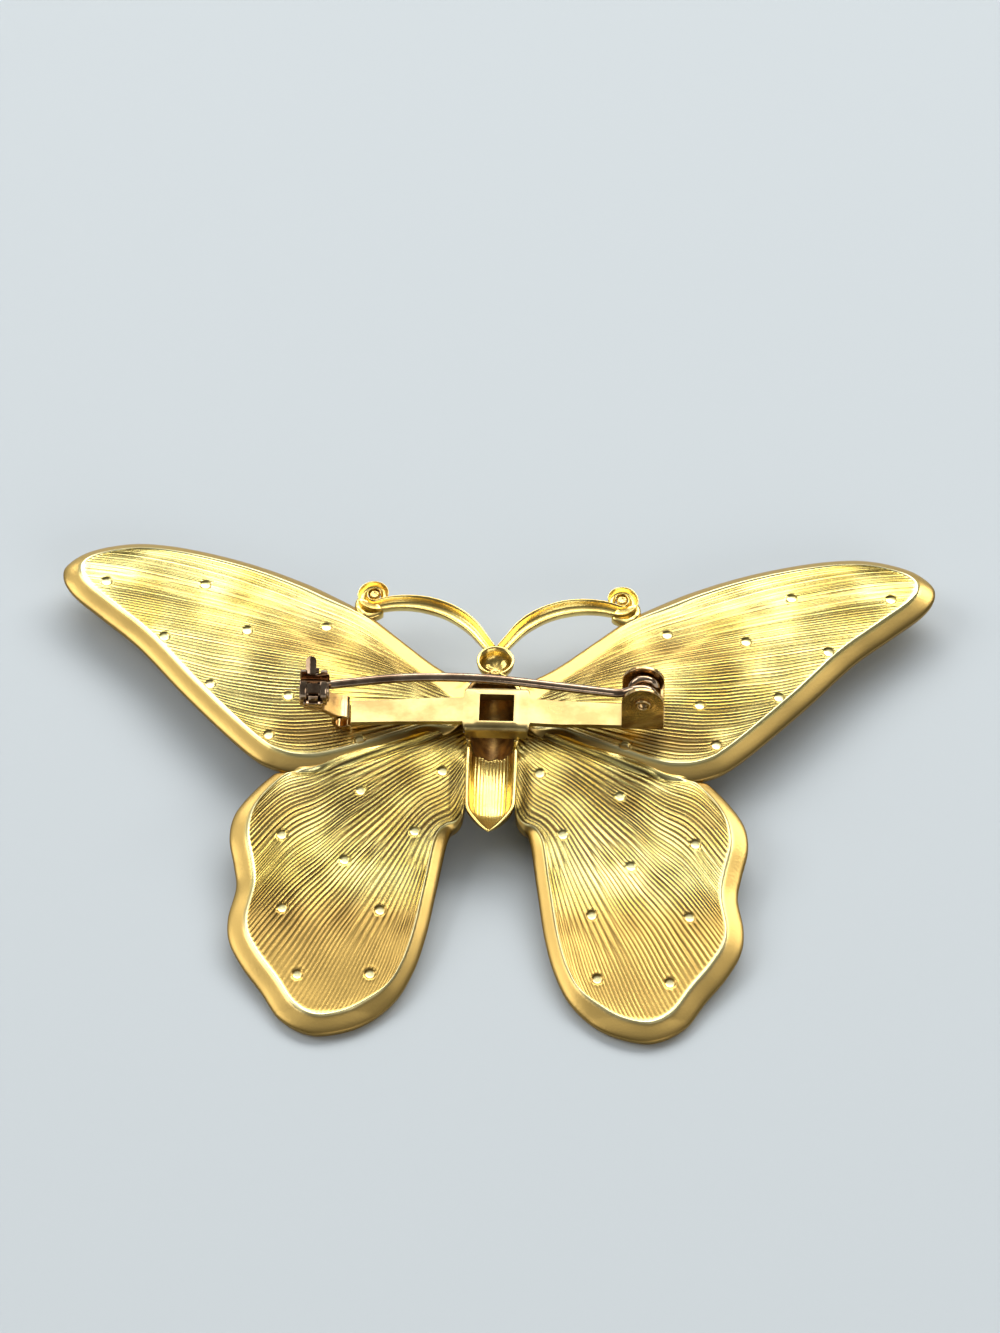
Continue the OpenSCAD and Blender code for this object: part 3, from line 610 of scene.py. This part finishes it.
# The thorax's hollow is lined with a dark brown gold: painted shade deep inside it.
trough("thorax", [
    [3.6, 2.25, 3.9], [5, 2.5, 4.3], [7.65, 2.75, 4.7], [9.5, 2.42, 4.2],
    [10.8, 1.5, 2.6], [11.3, 0.6, 0.8], [11.43, 0.1, 0.1]], 0.4, 0.95, 60, 41, 0, dark_brown_gold)

# --- Head and antennae ------------------------------------------------------------------------
# The head is a small deep cup. Two antennae, pressed as thin gutters, spring from its top in a V,
# curve round to the forewings and curl up there round a small disc; a web ties each curl to the
# wing's edge.
head_profile = np.array([
    [0, -1.75], [0.7, -1.65], [1.25, -1.25], [1.56, -0.6], [1.65, 0], [1.6, 0.08], [1.47, 0.08],
    [1.34, 0], [1.24, -0.55], [0.95, -0.95], [0.5, -1.15], [0, -1.2]])


def turned(name, profile_rz, centre, steps, dent=0.0):
    """A profile of radius and height spun round a vertical axis; dents add a wave to its
    hollow side."""
    angle = np.linspace(0, 2 * np.pi, steps, endpoint=False)
    r, z = profile_rz[1:-1, 0], profile_rz[1:-1, 1]
    hollow = np.where(np.arange(len(r)) > len(r) * 0.6, dent, 0)
    wave = hollow * np.sin(3 * angle[:, None] + 9 * r) * np.cos(5 * angle[:, None])
    ring = np.stack([centre[0] + np.cos(angle)[:, None] * r,
                     centre[1] + np.sin(angle)[:, None] * r, centre[2] + z + wave], -1)
    k = len(r)
    grid = np.arange(steps * k).reshape(steps, k)
    nxt = np.roll(grid, -1, 0)
    quads = np.stack([grid[:, :-1], nxt[:, :-1], nxt[:, 1:], grid[:, 1:]], -1)
    low, high = steps * k, steps * k + 1
    fans = [[low, int(b), int(a)] for a, b in zip(grid[:, 0], nxt[:, 0])]
    fans += [[high, int(a), int(b)] for a, b in zip(grid[:, -1], nxt[:, -1])]
    points = np.concatenate([ring.reshape(-1, 3), [[*centre[:2], centre[2] + profile_rz[0, 1]],
                                                   [*centre[:2], centre[2] + profile_rz[-1, 1]]]])
    make_piece(name, points, quads.reshape(-1, 4).tolist() + fans, "butterfly", "gold_plate",
               body_gold)


turned("head", head_profile, (0, 12.753, 4.75), 64, 0.07)

antenna_mid = np.array([7.88, 11.803])
curl_mid = np.array([10.78, 20.2])


def antenna_line():
    """Middle line of the right antenna, head to curl: straight off the head, an arc of 7.5 mm,
    and a spiral round the curl's disc whose radius shrinks to 0.88 mm."""
    def on_arc(degrees):
        a = np.radians(degrees)[:, None]
        return antenna_mid + 7.5 * np.concatenate([np.cos(a), np.sin(a)], 1)

    arc = on_arc(np.linspace(147, 71, 70))
    back = arc[0] - arc[1]
    straight = arc[0] + back / np.linalg.norm(back) * np.linspace(2.0, 0.1, 14)[:, None]
    first = arc[-1] - curl_mid
    u = np.linspace(0, 1, 60)[1:, None]
    a = math.atan2(first[1], first[0]) + u * math.radians(305)
    r = 0.88 + (np.linalg.norm(first) - 0.88) * (1 - smooth(0, 0.5, u))
    spiral = curl_mid + r * np.concatenate([np.cos(a), np.sin(a)], 1)
    return np.concatenate([straight, arc, spiral])


def gutter(name, side):
    """A gutter carried along the antenna's line: rounded outside, a hollow between two rims,
    widest in the middle of the arc and narrow in the curl."""
    line = antenna_line()
    far = np.concatenate([[0], np.cumsum(np.linalg.norm(np.diff(line, axis=0), axis=1))])
    half = np.interp(far, [0, 1.5, 4, 7.5, 11.5, 13, far[-1]],
                     [0.5, 0.56, 0.74, 0.8, 0.66, 0.48, 0.36])
    across = np.array([0.25, 0.5, 0.7, 0.82, 0.92, 0.98, 1])
    across = np.concatenate([-across[::-1], [0], across])
    up = np.array([-0.62, -0.5, -0.16, 0, 0.02, -0.02, -0.12])
    up = np.concatenate([up[::-1], [-0.6], up])
    under = np.linspace(1, -1, 13)[1:-1]
    section = np.concatenate([np.stack([across, up], 1),
                              np.stack([under, -0.12 - 0.95 * np.sqrt(1 - under ** 2)], 1)])
    way = np.gradient(line, axis=0)
    way /= np.linalg.norm(way, axis=1)[:, None]
    square = np.stack([way[:, 1], -way[:, 0]], 1)
    flat = line[:, None] + square[:, None] * (half[:, None] * section[None, :, 0])[..., None]
    depth = (0.72 + 0.3 * half / half.max())[:, None]
    z = 4.72 + section[None, :, 1] * depth + 0 * flat[..., 0]
    make_piece(name, *skin(np.dstack([flat, z]) * [side, 1, 1]), "butterfly", "gold_plate",
               body_gold)


def web(name, side):
    """A small domed plate inside a rounded outline: rings that shrink toward its middle while
    their height follows a quarter round; flat underneath."""
    outline = round_curve(np.array([[12.2, 19.9], [12.45, 18.9], [12.05, 18.1], [11.1, 17.6],
                                    [9.95, 18.2], [10.3, 19.2], [11.3, 19.6]]))[::6]
    middle = outline.mean(0)
    rings = []
    for share, height in ((0.9, 3.6), (1, 3.75), (1, 4.2), (0.93, 4.36), (0.8, 4.42), (0.55, 4.38),
                          (0.3, 4.35), (0.1, 4.34)):
        flat = middle + (outline - middle) * share
        ridges = 0.02 * np.sin(6 * (flat[:, 0] + flat[:, 1])) * (height > 4.4)
        rings.append(np.column_stack([flat, height + ridges]))
    make_piece(name, *skin(np.array(rings) * [side, 1, 1]), "butterfly", "gold_plate", body_gold)


disc_profile = np.array([[0, -0.9], [0.4, -0.85], [0.5, -0.5], [0.5, -0.3], [0.44, -0.2],
                         [0.3, -0.17], [0.15, -0.22], [0, -0.25]])
for side, end in ((1, "_right"), (-1, "_left")):
    gutter("antenna" + end, side)
    web("web" + end, side)
    turned("curl_disc" + end, disc_profile, (side * curl_mid[0], curl_mid[1], 4.7), 32, 0.03)

# --- Bar of the pin ---------------------------------------------------------------------------
# The finding's strip is cut from gilt brass sheet. Its two arms spread into a pad with a square
# hole, whose long sides are folded down and soldered to the rims of the body.
stem_y, pad_y = 5.953, 6.253
pad_z, arm_z, catch_arm_z = 6.2, 6.0, 5.55
strip_t, arm_half, fold_r = 0.45, 1.35, 0.5
pad_mid, pad_half_w = 0.3, 2.375
arm_left, arm_right = -12.3, 14.83
flat_half = pad_half_w - fold_r
pad_reach = flat_half + fold_r * math.pi / 2 + pad_z - body_z - fold_r
finding_gilt = worn_gold("finding_gilt", (0.52, 0.4, 0.17), (0.34, 0.24, 0.09), 0.3, 260, 3000,
                         0.000012)
bronze_gilt = worn_gold("bronze_gilt", (0.62, 0.42, 0.18), (0.32, 0.19, 0.08), 0.16, 420, 4000,
                        0.00001)


def plate(upper, lower, keep=True, closed=False):
    """Closed plate between two grids of points that match: quads where keep holds, and a wall
    along every edge that only one quad has. Closed grids join their last column to the first."""
    rows, cols = upper.shape[:2]
    size = rows * cols
    grid = np.arange(size).reshape(rows, cols)
    if closed:
        grid = np.concatenate([grid, grid[:, :1]], 1)
    top = np.stack([grid[:-1, :-1], grid[1:, :-1], grid[1:, 1:], grid[:-1, 1:]], -1)
    top = top[np.broadcast_to(keep, top.shape[:2])]
    start, stop = top.ravel(), np.roll(top, -1, 1).ravel()
    once = ~np.isin(start * size + stop, stop * size + start)
    a, b = start[once], stop[once]
    faces = np.concatenate([top, top[:, ::-1] + size, np.stack([b, a, a + size, b + size], -1)])
    used, faces = np.unique(faces, return_inverse=True)
    points = np.concatenate([upper.reshape(-1, 3), lower.reshape(-1, 3)])[used]
    return points, faces.reshape(-1, 4).tolist()


def fold(across):
    """How the pad lies across: flat, then a quarter round of fold_r, then straight down. Gives
    the place across, the drop, and the face's tilt."""
    side, far = np.sign(across), np.abs(across)
    tilt = np.clip((far - flat_half) / fold_r, 0, np.pi / 2)
    drop = fold_r * (1 - np.cos(tilt)) + np.maximum(0, far - flat_half - fold_r * np.pi / 2)
    return side * (np.minimum(far, flat_half) + fold_r * np.sin(tilt)), drop, side * tilt


def strip():
    """The strip over a grid of length and share across. Its half width swells from arm_half to
    pad_reach in a short S-shaped step, and a soft ridge rings the hole."""
    x = np.concatenate([
        np.linspace(arm_left, -3.1, 50), np.linspace(-3.05, -2.2, 18), np.linspace(-2.1, -1.2, 8),
        np.linspace(-1.0, 1.8, 15), np.linspace(1.9, 2.8, 8), np.linspace(2.85, 3.7, 18),
        np.linspace(3.9, arm_right, 60)])
    near, far = -1.6 / pad_reach, 1.4 / pad_reach
    share = np.concatenate([np.linspace(-1, near, 18)[:-1], np.linspace(near, far, 14)[:-1],
                            np.linspace(far, 1, 18)])
    pad = (1 - smooth(2.6, 2.95, np.abs(x - pad_mid)))[:, None]
    spread = arm_half - 0.12 * smooth(3, 10, np.abs(x - pad_mid))[:, None]
    across = (spread + (pad_reach - spread) * pad) * share
    out, drop, tilt = fold(across)
    hole = np.maximum(np.abs(x - pad_mid)[:, None], np.abs(across + 0.1)) - 1.5
    top = np.interp(x, [arm_left, -2.6, 3, 6, arm_right],
                    [catch_arm_z, pad_z, pad_z, arm_z, arm_z])[:, None]
    top = top - drop + 0.07 * np.exp(-((hole - 0.1) / 0.25) ** 2) * pad
    top = top + 0.02 * grain(x[:, None] / 1.7 + 40, across / 2.5 + 40, 5)
    y = stem_y + (pad_y - stem_y) * pad + out
    upper = np.stack([x[:, None] + 0 * y, y, top], -1)
    lower = upper - strip_t * np.stack([0 * y, np.sin(tilt), np.cos(tilt)], -1)
    mid_x, mid_share = 0.5 * (x[1:] + x[:-1]), 0.5 * (share[1:] + share[:-1])
    inside = ((mid_x > -1.2) & (mid_x < 1.8))[:, None] & ((mid_share > near) & (mid_share < far))
    return plate(upper, lower, ~inside)


def finding_piece(name, mesh, bevel, material=bronze_gilt, node="pin_bar", body="brooch"):
    """A piece of the finding, its edges rounded."""
    make_piece(name, *mesh, node, "finding_metal", material, body=body, bevel=bevel)


finding_piece("bar_strip", strip(), 0.08, finding_gilt)

# --- Hinge ------------------------------------------------------------------------------------
# Two ears with round tops are folded up from the strip, with a stop between them at the end, and
# a hollow rivet goes through both.
rivet = np.array([13.0, stem_y, 9.1])
ear_r, ear_t, ear_gap, rivet_hole = 1.83, 0.35, 2.14, 0.57
ear_foot = rivet[2] - arm_z + strip_t / 2
around = np.linspace(0, 2 * np.pi, 120, endpoint=False)
below = np.maximum(-np.sin(around), 1e-6)
outline = np.where(np.sin(around) >= 0, ear_r,
                   np.minimum(ear_r / np.maximum(np.abs(np.cos(around)), 1e-6), ear_foot / below))
ring_share = np.linspace(0, 1, 12)[:, None]
radius = rivet_hole + (outline - rivet_hole) * ring_share
dish = 0.05 * np.exp(-((radius - 0.85) / 0.2) ** 2)
for side, name in ((-1, "ear_near"), (1, "ear_far")):
    face = stem_y + side * (ear_gap / 2 + ear_t)
    ear_x, ear_z = rivet[0] + radius * np.cos(around), rivet[2] + radius * np.sin(around)
    outside = np.stack([ear_x, face + side * dish, ear_z], -1)
    inside = np.stack([ear_x, face - side * ear_t + 0 * dish, ear_z], -1)
    finding_piece(name, plate(outside, inside, closed=True), 0.07)

# The stop: a tongue folded up at the strip's end, its upper corners rounded
up, over = np.linspace(0, 1, 16)[:, None], np.linspace(-1, 1, 15)
stop_half = (ear_gap / 2 + 0.2) * np.sqrt(1 - 0.35 * np.clip((up - 0.8) / 0.2, 0, 1) ** 2)
stop_y, stop_z = stem_y + stop_half * over, arm_z - 0.2 + up * (3.25 + 0.05 * (1 - over ** 2))
bulge = 0.06 * np.sin(np.pi * up) * (1 - over ** 2)
stop_out = np.stack([arm_right + bulge - 0.06 + 0 * stop_y, stop_y, stop_z], -1)
stop_in = np.stack([arm_right - ear_t + 0 * stop_y, stop_y, stop_z], -1)
finding_piece("hinge_stop", plate(stop_out, stop_in), 0.07)

# The rivet is turned: a profile of radius and place along its axis, with two rolled heads
roll = np.radians(np.linspace(-70, 250, 12))
head_place = ear_gap / 2 + ear_t + 0.13
head_ring = np.stack([0.54 + 0.17 * np.cos(roll), head_place + 0.13 * np.sin(roll)], 1)
near_ring = head_ring[::-1] * [1, -1]
rivet_profile = np.concatenate([[[0.53, 0]], head_ring, [[0.375, head_place - 0.1], [0.375, 0],
                                [0.375, -head_place + 0.1]], near_ring])
turn = np.linspace(0, 2 * np.pi, 48, endpoint=False)[:, None]
shell = np.stack([rivet[0] + rivet_profile[:, 0] * np.cos(turn),
                  rivet[1] + rivet_profile[:, 1] + 0 * turn,
                  rivet[2] + rivet_profile[:, 0] * np.sin(turn)], -1)
grid = np.arange(shell.shape[0] * shell.shape[1]).reshape(shell.shape[:2])
nxt, top_next = np.roll(grid, -1, 0), np.roll(grid, -1, 1)
quads = np.stack([grid, nxt, np.roll(nxt, -1, 1), top_next], -1).reshape(-1, 4)
make_piece("rivet", shell.reshape(-1, 3), quads.tolist(), "hinge_rivet", "finding_metal",
           bronze_gilt)

# --- Stem -------------------------------------------------------------------------------------
# One length of drawn wire: a short tail, a turn and a half round the rivet, then a stem that dips,
# bows over the bar and runs out straight to a ground point in the catch.
wire_r, coil_r, turn_pitch = 0.4, 1.0, 1.1
dip_r, bow_r, dip_angle, rise_angle, point_slope = 2.2, 38.0, 32, 7, 12.2
catch_mid, catch_z = -15.8, 8.65
stem_reach = math.sqrt((rivet[0] - catch_mid) ** 2 - (turn_pitch / 2) ** 2)
stem_fall = catch_z + 0.1 - rivet[2] - coil_r
sin, cos = (lambda d: math.sin(math.radians(d))), (lambda d: math.cos(math.radians(d)))
straight_x = (stem_reach - dip_r * (2 * sin(dip_angle) + sin(rise_angle))
              - bow_r * (sin(rise_angle) + sin(point_slope)))
straight_z = (stem_fall + dip_r * (1 + cos(rise_angle) - 2 * cos(dip_angle))
              - bow_r * (cos(point_slope) - cos(rise_angle)))
bow_angle = rise_angle + point_slope
rise_l = (straight_x * sin(point_slope) + straight_z * cos(point_slope)) / sin(bow_angle)
slope_l = (straight_x * sin(rise_angle) - straight_z * cos(rise_angle)) / sin(bow_angle)
shank_l, point_l = slope_l + 1.3 - 3.2, 3.2


def bent_line(start, heading, stretches):
    """Walks along straight stretches and bends: each is a length, or a radius and an angle in
    degrees, positive to the left. Heading and place are in the stem's own upright plane."""
    place, way = np.array(start, float), math.radians(heading)
    points = [place[None]]
    for stretch in stretches:
        if isinstance(stretch, tuple):
            bend_r, angle = stretch[0], math.radians(stretch[1])
            steps = way + angle * np.linspace(0, 1, 25)[1:]
            side = math.copysign(1, angle) * bend_r
            hub = place + side * np.array([-math.sin(way), math.cos(way)])
            part = hub - side * np.stack([-np.sin(steps), np.cos(steps)], 1)
            way += angle
        else:
            ahead = np.array([math.cos(way), math.sin(way)])
            part = place + stretch * np.linspace(0, 1, 13)[1:, None] * ahead
        place = part[-1]
        points.append(part)
    return np.concatenate(points)


def arc_points(start, stop, side_y, count=40):
    """Turn of the coil at one place across, its angle from +X toward +Z."""
    a = np.radians(np.linspace(start, stop, count))
    return np.stack([coil_r * np.cos(a), side_y + 0 * a, coil_r * np.sin(a)], 1)


lean = arc_points(90, 270, 0, 50)
lean[:, 1] = turn_pitch / 2 * np.sin(np.radians(np.linspace(90, -90, 50)))
coil = np.concatenate([
    [[-0.8, turn_pitch / 2, -coil_r], [-0.4, turn_pitch / 2, -coil_r]],
    arc_points(-90, 90, turn_pitch / 2)[:-1], lean[:-1],
    arc_points(-90, 90, -turn_pitch / 2)[:-1]])
rise = bent_line((0, coil_r), 180, [(dip_r, dip_angle), (dip_r, -dip_angle - rise_angle), rise_l,
                                    (bow_r, bow_angle), shank_l, point_l])
rise = np.stack([rise[:, 0], 0 * rise[:, 0] - turn_pitch / 2, rise[:, 1]], 1)
turned_by = -math.asin(turn_pitch / 2 / (rivet[0] - catch_mid))
turned_x, turned_y = math.cos(turned_by), math.sin(turned_by)
stem_line = rivet + np.concatenate([coil, rise]) @ np.array([
    [turned_x, turned_y, 0], [-turned_y, turned_x, 0], [0, 0, 1]])
stem_radius = np.full(len(stem_line), wire_r)
stem_radius[-12:] = wire_r + (0.06 - wire_r) * np.linspace(0, 1, 13)[1:] ** 1.15
stem_radius[0] = wire_r * 0.8


def tube(line, radius, sides):
    """A round section carried along a line that never heads along Y; its ends are closed."""
    way = np.gradient(line, axis=0)
    way /= np.linalg.norm(way, axis=1)[:, None]
    first = np.array([0, 1, 0]) - way[:, 1:2] * way
    first /= np.linalg.norm(first, axis=1)[:, None]
    second = np.cross(way, first)
    a = np.linspace(0, 2 * np.pi, sides, endpoint=False)
    ring = line[:, None] + radius[:, None, None] * (first[:, None] * np.cos(a)[:, None]
                                                    + second[:, None] * np.sin(a)[:, None])
    return skin(ring)


wire_gilt = worn_gold("wire_gilt", (0.5, 0.36, 0.24), (0.24, 0.15, 0.09), 0.1, 400, 5000, 0.000008)
make_piece("stem", *tube(stem_line, stem_radius, 28), "pin_stem", "stem_wire", wire_gilt,
           body="pin")

# --- Catch ------------------------------------------------------------------------------------
# The strip's end is rolled into a curl and runs on as a tongue to a hook and its cradle. A
# slotted tube with two rings turns in them, and a thumb tab stands on it.
curl_x, curl_z = arm_left - 0.8, catch_arm_z - strip_t / 2 + 0.1
neck_half = 0.9 * arm_half


def curved_plate(centre, r_in, r_out, start, stop, low, high, count=50, across=12):
    """Part of a ring about the Y axis, between two angles from +X toward +Z and two places
    along Y."""
    a = np.radians(np.linspace(start, stop, count))[:, None]
    y = np.linspace(low, high, across)[None]
    return plate(*(np.stack([centre[0] + r * np.cos(a) + 0 * y, y + 0 * a,
                             centre[1] + r * np.sin(a) + 0 * y], -1) for r in (r_out, r_in)))


finding_piece("catch_curl", curved_plate((curl_x, curl_z), 0.53, 0.88, 40, 330,
                                         stem_y - neck_half, stem_y + neck_half), 0.08)
u, over = np.linspace(0, 1, 20)[:, None], np.linspace(-1, 1, 14)
neck_y = stem_y + neck_half * over * (1 - 0.12 * smooth(0.3, 1, u))
neck_top = np.stack([-12.8 - 2.2 * u + 0 * neck_y, neck_y,
                     6.28 + 0.75 * smooth(0.1, 1, u) + 0 * neck_y], -1)
neck_low = np.stack([-13.1 - 2.1 * u + 0 * neck_y, neck_y,
                     5.92 + 0.8 * smooth(0.1, 1, u) + 0 * neck_y], -1)
finding_piece("catch_tongue", plate(neck_top, neck_low), 0.08, dark_brown_gold)


def hoop(profile, start, stop, slot=0.0, bore=None, count=90):
    """Part of a turned shape about the catch's own axis, between two angles from +Y toward +Z.
    The profile is place along the axis and radius, and the wall goes in to the bore. A slot
    keeps its width at every radius: its angle is the arcsine of half its width over it."""
    profile = np.array(profile)
    inner = np.column_stack([np.linspace(profile[0, 0], profile[-1, 0], len(profile)),
                             np.full(len(profile), bore)])
    u = np.linspace(0, 1, count)
    sheets = []
    for x, r in (profile.T, inner.T):
        half_slot = np.degrees(np.arcsin(slot / 2 / r))[:, None]
        a = np.radians(start + half_slot + (stop - start - 2 * half_slot) * u)
        sheets.append(np.stack([catch_mid + x[:, None] + 0 * a, stem_y + r[:, None] * np.cos(a),
                                catch_z + r[:, None] * np.sin(a)], -1))
    return plate(*sheets)


hook_profile = [[-0.18, 1.7], [-0.11, 1.75], [0.26, 1.77], [0.63, 1.75], [0.7, 1.7]]
cradle_profile = [[-0.6, 1.88], [-0.45, 1.97], [0.26, 2.0], [0.95, 1.97], [1.1, 1.88]]
finding_piece("catch_hook", hoop(hook_profile, 157, 390, bore=1.36), 0.06, wire_gilt)
finding_piece("catch_cradle", hoop(cradle_profile, 175, 325, bore=1.62), 0.06, wire_gilt)
rotor_profile = [[-0.95, 1.44], [-0.92, 1.5], [-0.86, 1.545], [-0.78, 1.55], [-0.47, 1.55],
                 [-0.39, 1.545], [-0.33, 1.5], [-0.3, 1.44], [-0.3, 1.25], [0.82, 1.25],
                 [0.82, 1.44], [0.85, 1.5], [0.91, 1.545], [0.99, 1.55], [1.28, 1.55],
                 [1.36, 1.545], [1.42, 1.5], [1.45, 1.44], [1.45, 1.25], [1.54, 1.25],
                 [1.58, 1.22], [1.6, 1.17]]
finding_piece("catch_tube", hoop(rotor_profile, 90, 450, slot=1.05, bore=1.05), 0.04, wire_gilt,
              "catch_rotor", "catch")

# The thumb tab: a tongue with a round end, drawn from the tube at 50 degrees, slightly dished
reach, over = np.linspace(0, 1, 30)[:, None], np.linspace(-1, 1, 13)
tab_r = 1.15 + 1.6 * reach
tab_half = 0.45 * np.sqrt(np.maximum(0.002, 1 - np.maximum(0, (tab_r - 2.3) / 0.452) ** 2))
tab_x = tab_half * over
sheets = []
for face in (0.16, -0.16):
    off = face - 0.05 * (1 - (tab_x / 0.45) ** 2) + 0 * tab_x
    sheets.append(np.stack([catch_mid + tab_x, stem_y + tab_r * cos(50) - off * sin(50),
                            catch_z + tab_r * sin(50) + off * cos(50)], -1))
finding_piece("catch_tab", plate(*sheets), 0.05, wire_gilt, "catch_rotor", "catch")

# --- Table and light --------------------------------------------------------------------------
# The brooch lies on a pale grey table. Large soft lamps stand behind it, and the room is bright
# on that side and dim on the camera's, so that every cut line has a light and a dark flank.
table_mesh = bpy.data.meshes.new("table")
table_mesh.from_pydata([(-3, -3, 0), (3, -3, 0), (3, 3, 0), (-3, 3, 0)], [], [(0, 1, 2, 3)])
table = bpy.data.objects.new("table", table_mesh)
bpy.context.scene.collection.objects.link(table)
paper = bpy.data.materials.new("paper")
paper.use_nodes = True
finish = paper.node_tree.nodes["Principled BSDF"].inputs
finish["Base Color"].default_value = (0.565, 0.605, 0.622, 1)
finish["Roughness"].default_value = 0.8
finish["Specular IOR Level"].default_value = 0.2
table_mesh.materials.append(paper)


def softbox(name, at, width, height, power, colour=(1, 1, 1)):
    """A flat lamp that faces the brooch."""
    lamp = bpy.data.lights.new(name, "AREA")
    lamp.shape, lamp.size, lamp.size_y = "RECTANGLE", width, height
    lamp.energy, lamp.color = power, colour
    obj = bpy.data.objects.new(name, lamp)
    obj.location = at
    obj.rotation_euler = (-Vector(at)).to_track_quat("-Z", "Y").to_euler()
    bpy.context.scene.collection.objects.link(obj)


softbox("window_lamp", (0.2, 0.82, 0.72), 1.8, 0.46, 14)
softbox("fill_lamp", (0.5, -0.9, 0.45), 0.9, 0.5, 3)
softbox("ceiling_lamp", (0, 0.5, 0.95), 0.7, 0.14, 0.2)
softbox("side_lamp", (-1, 0.15, 0.8), 0.7, 0.7, 5)
world = bpy.data.worlds.new("room")
world.use_nodes = True
sky, sky_links = world.node_tree.nodes, world.node_tree.links
direction = sky.new("ShaderNodeTexCoord")
facing = sky.new("ShaderNodeVectorMath")
facing.operation = "DOT_PRODUCT"
facing.inputs[1].default_value = (-0.2, 0.72, 0.66)
sky_links.new(direction.outputs["Generated"], facing.inputs[0])
glow = add_node(sky, "ShaderNodeMapRange", From_Min=0.4, From_Max=0.98, To_Min=0.17, To_Max=0.75)
glow.interpolation_type = "SMOOTHSTEP"
sky_links.new(facing.outputs["Value"], glow.inputs["Value"])
sky_links.new(glow.outputs["Result"], sky["Background"].inputs["Strength"])
sky["Background"].inputs["Color"].default_value = (0.93, 0.97, 1, 1)
bpy.context.scene.world = world
bpy.context.scene.view_settings.view_transform = "Standard"
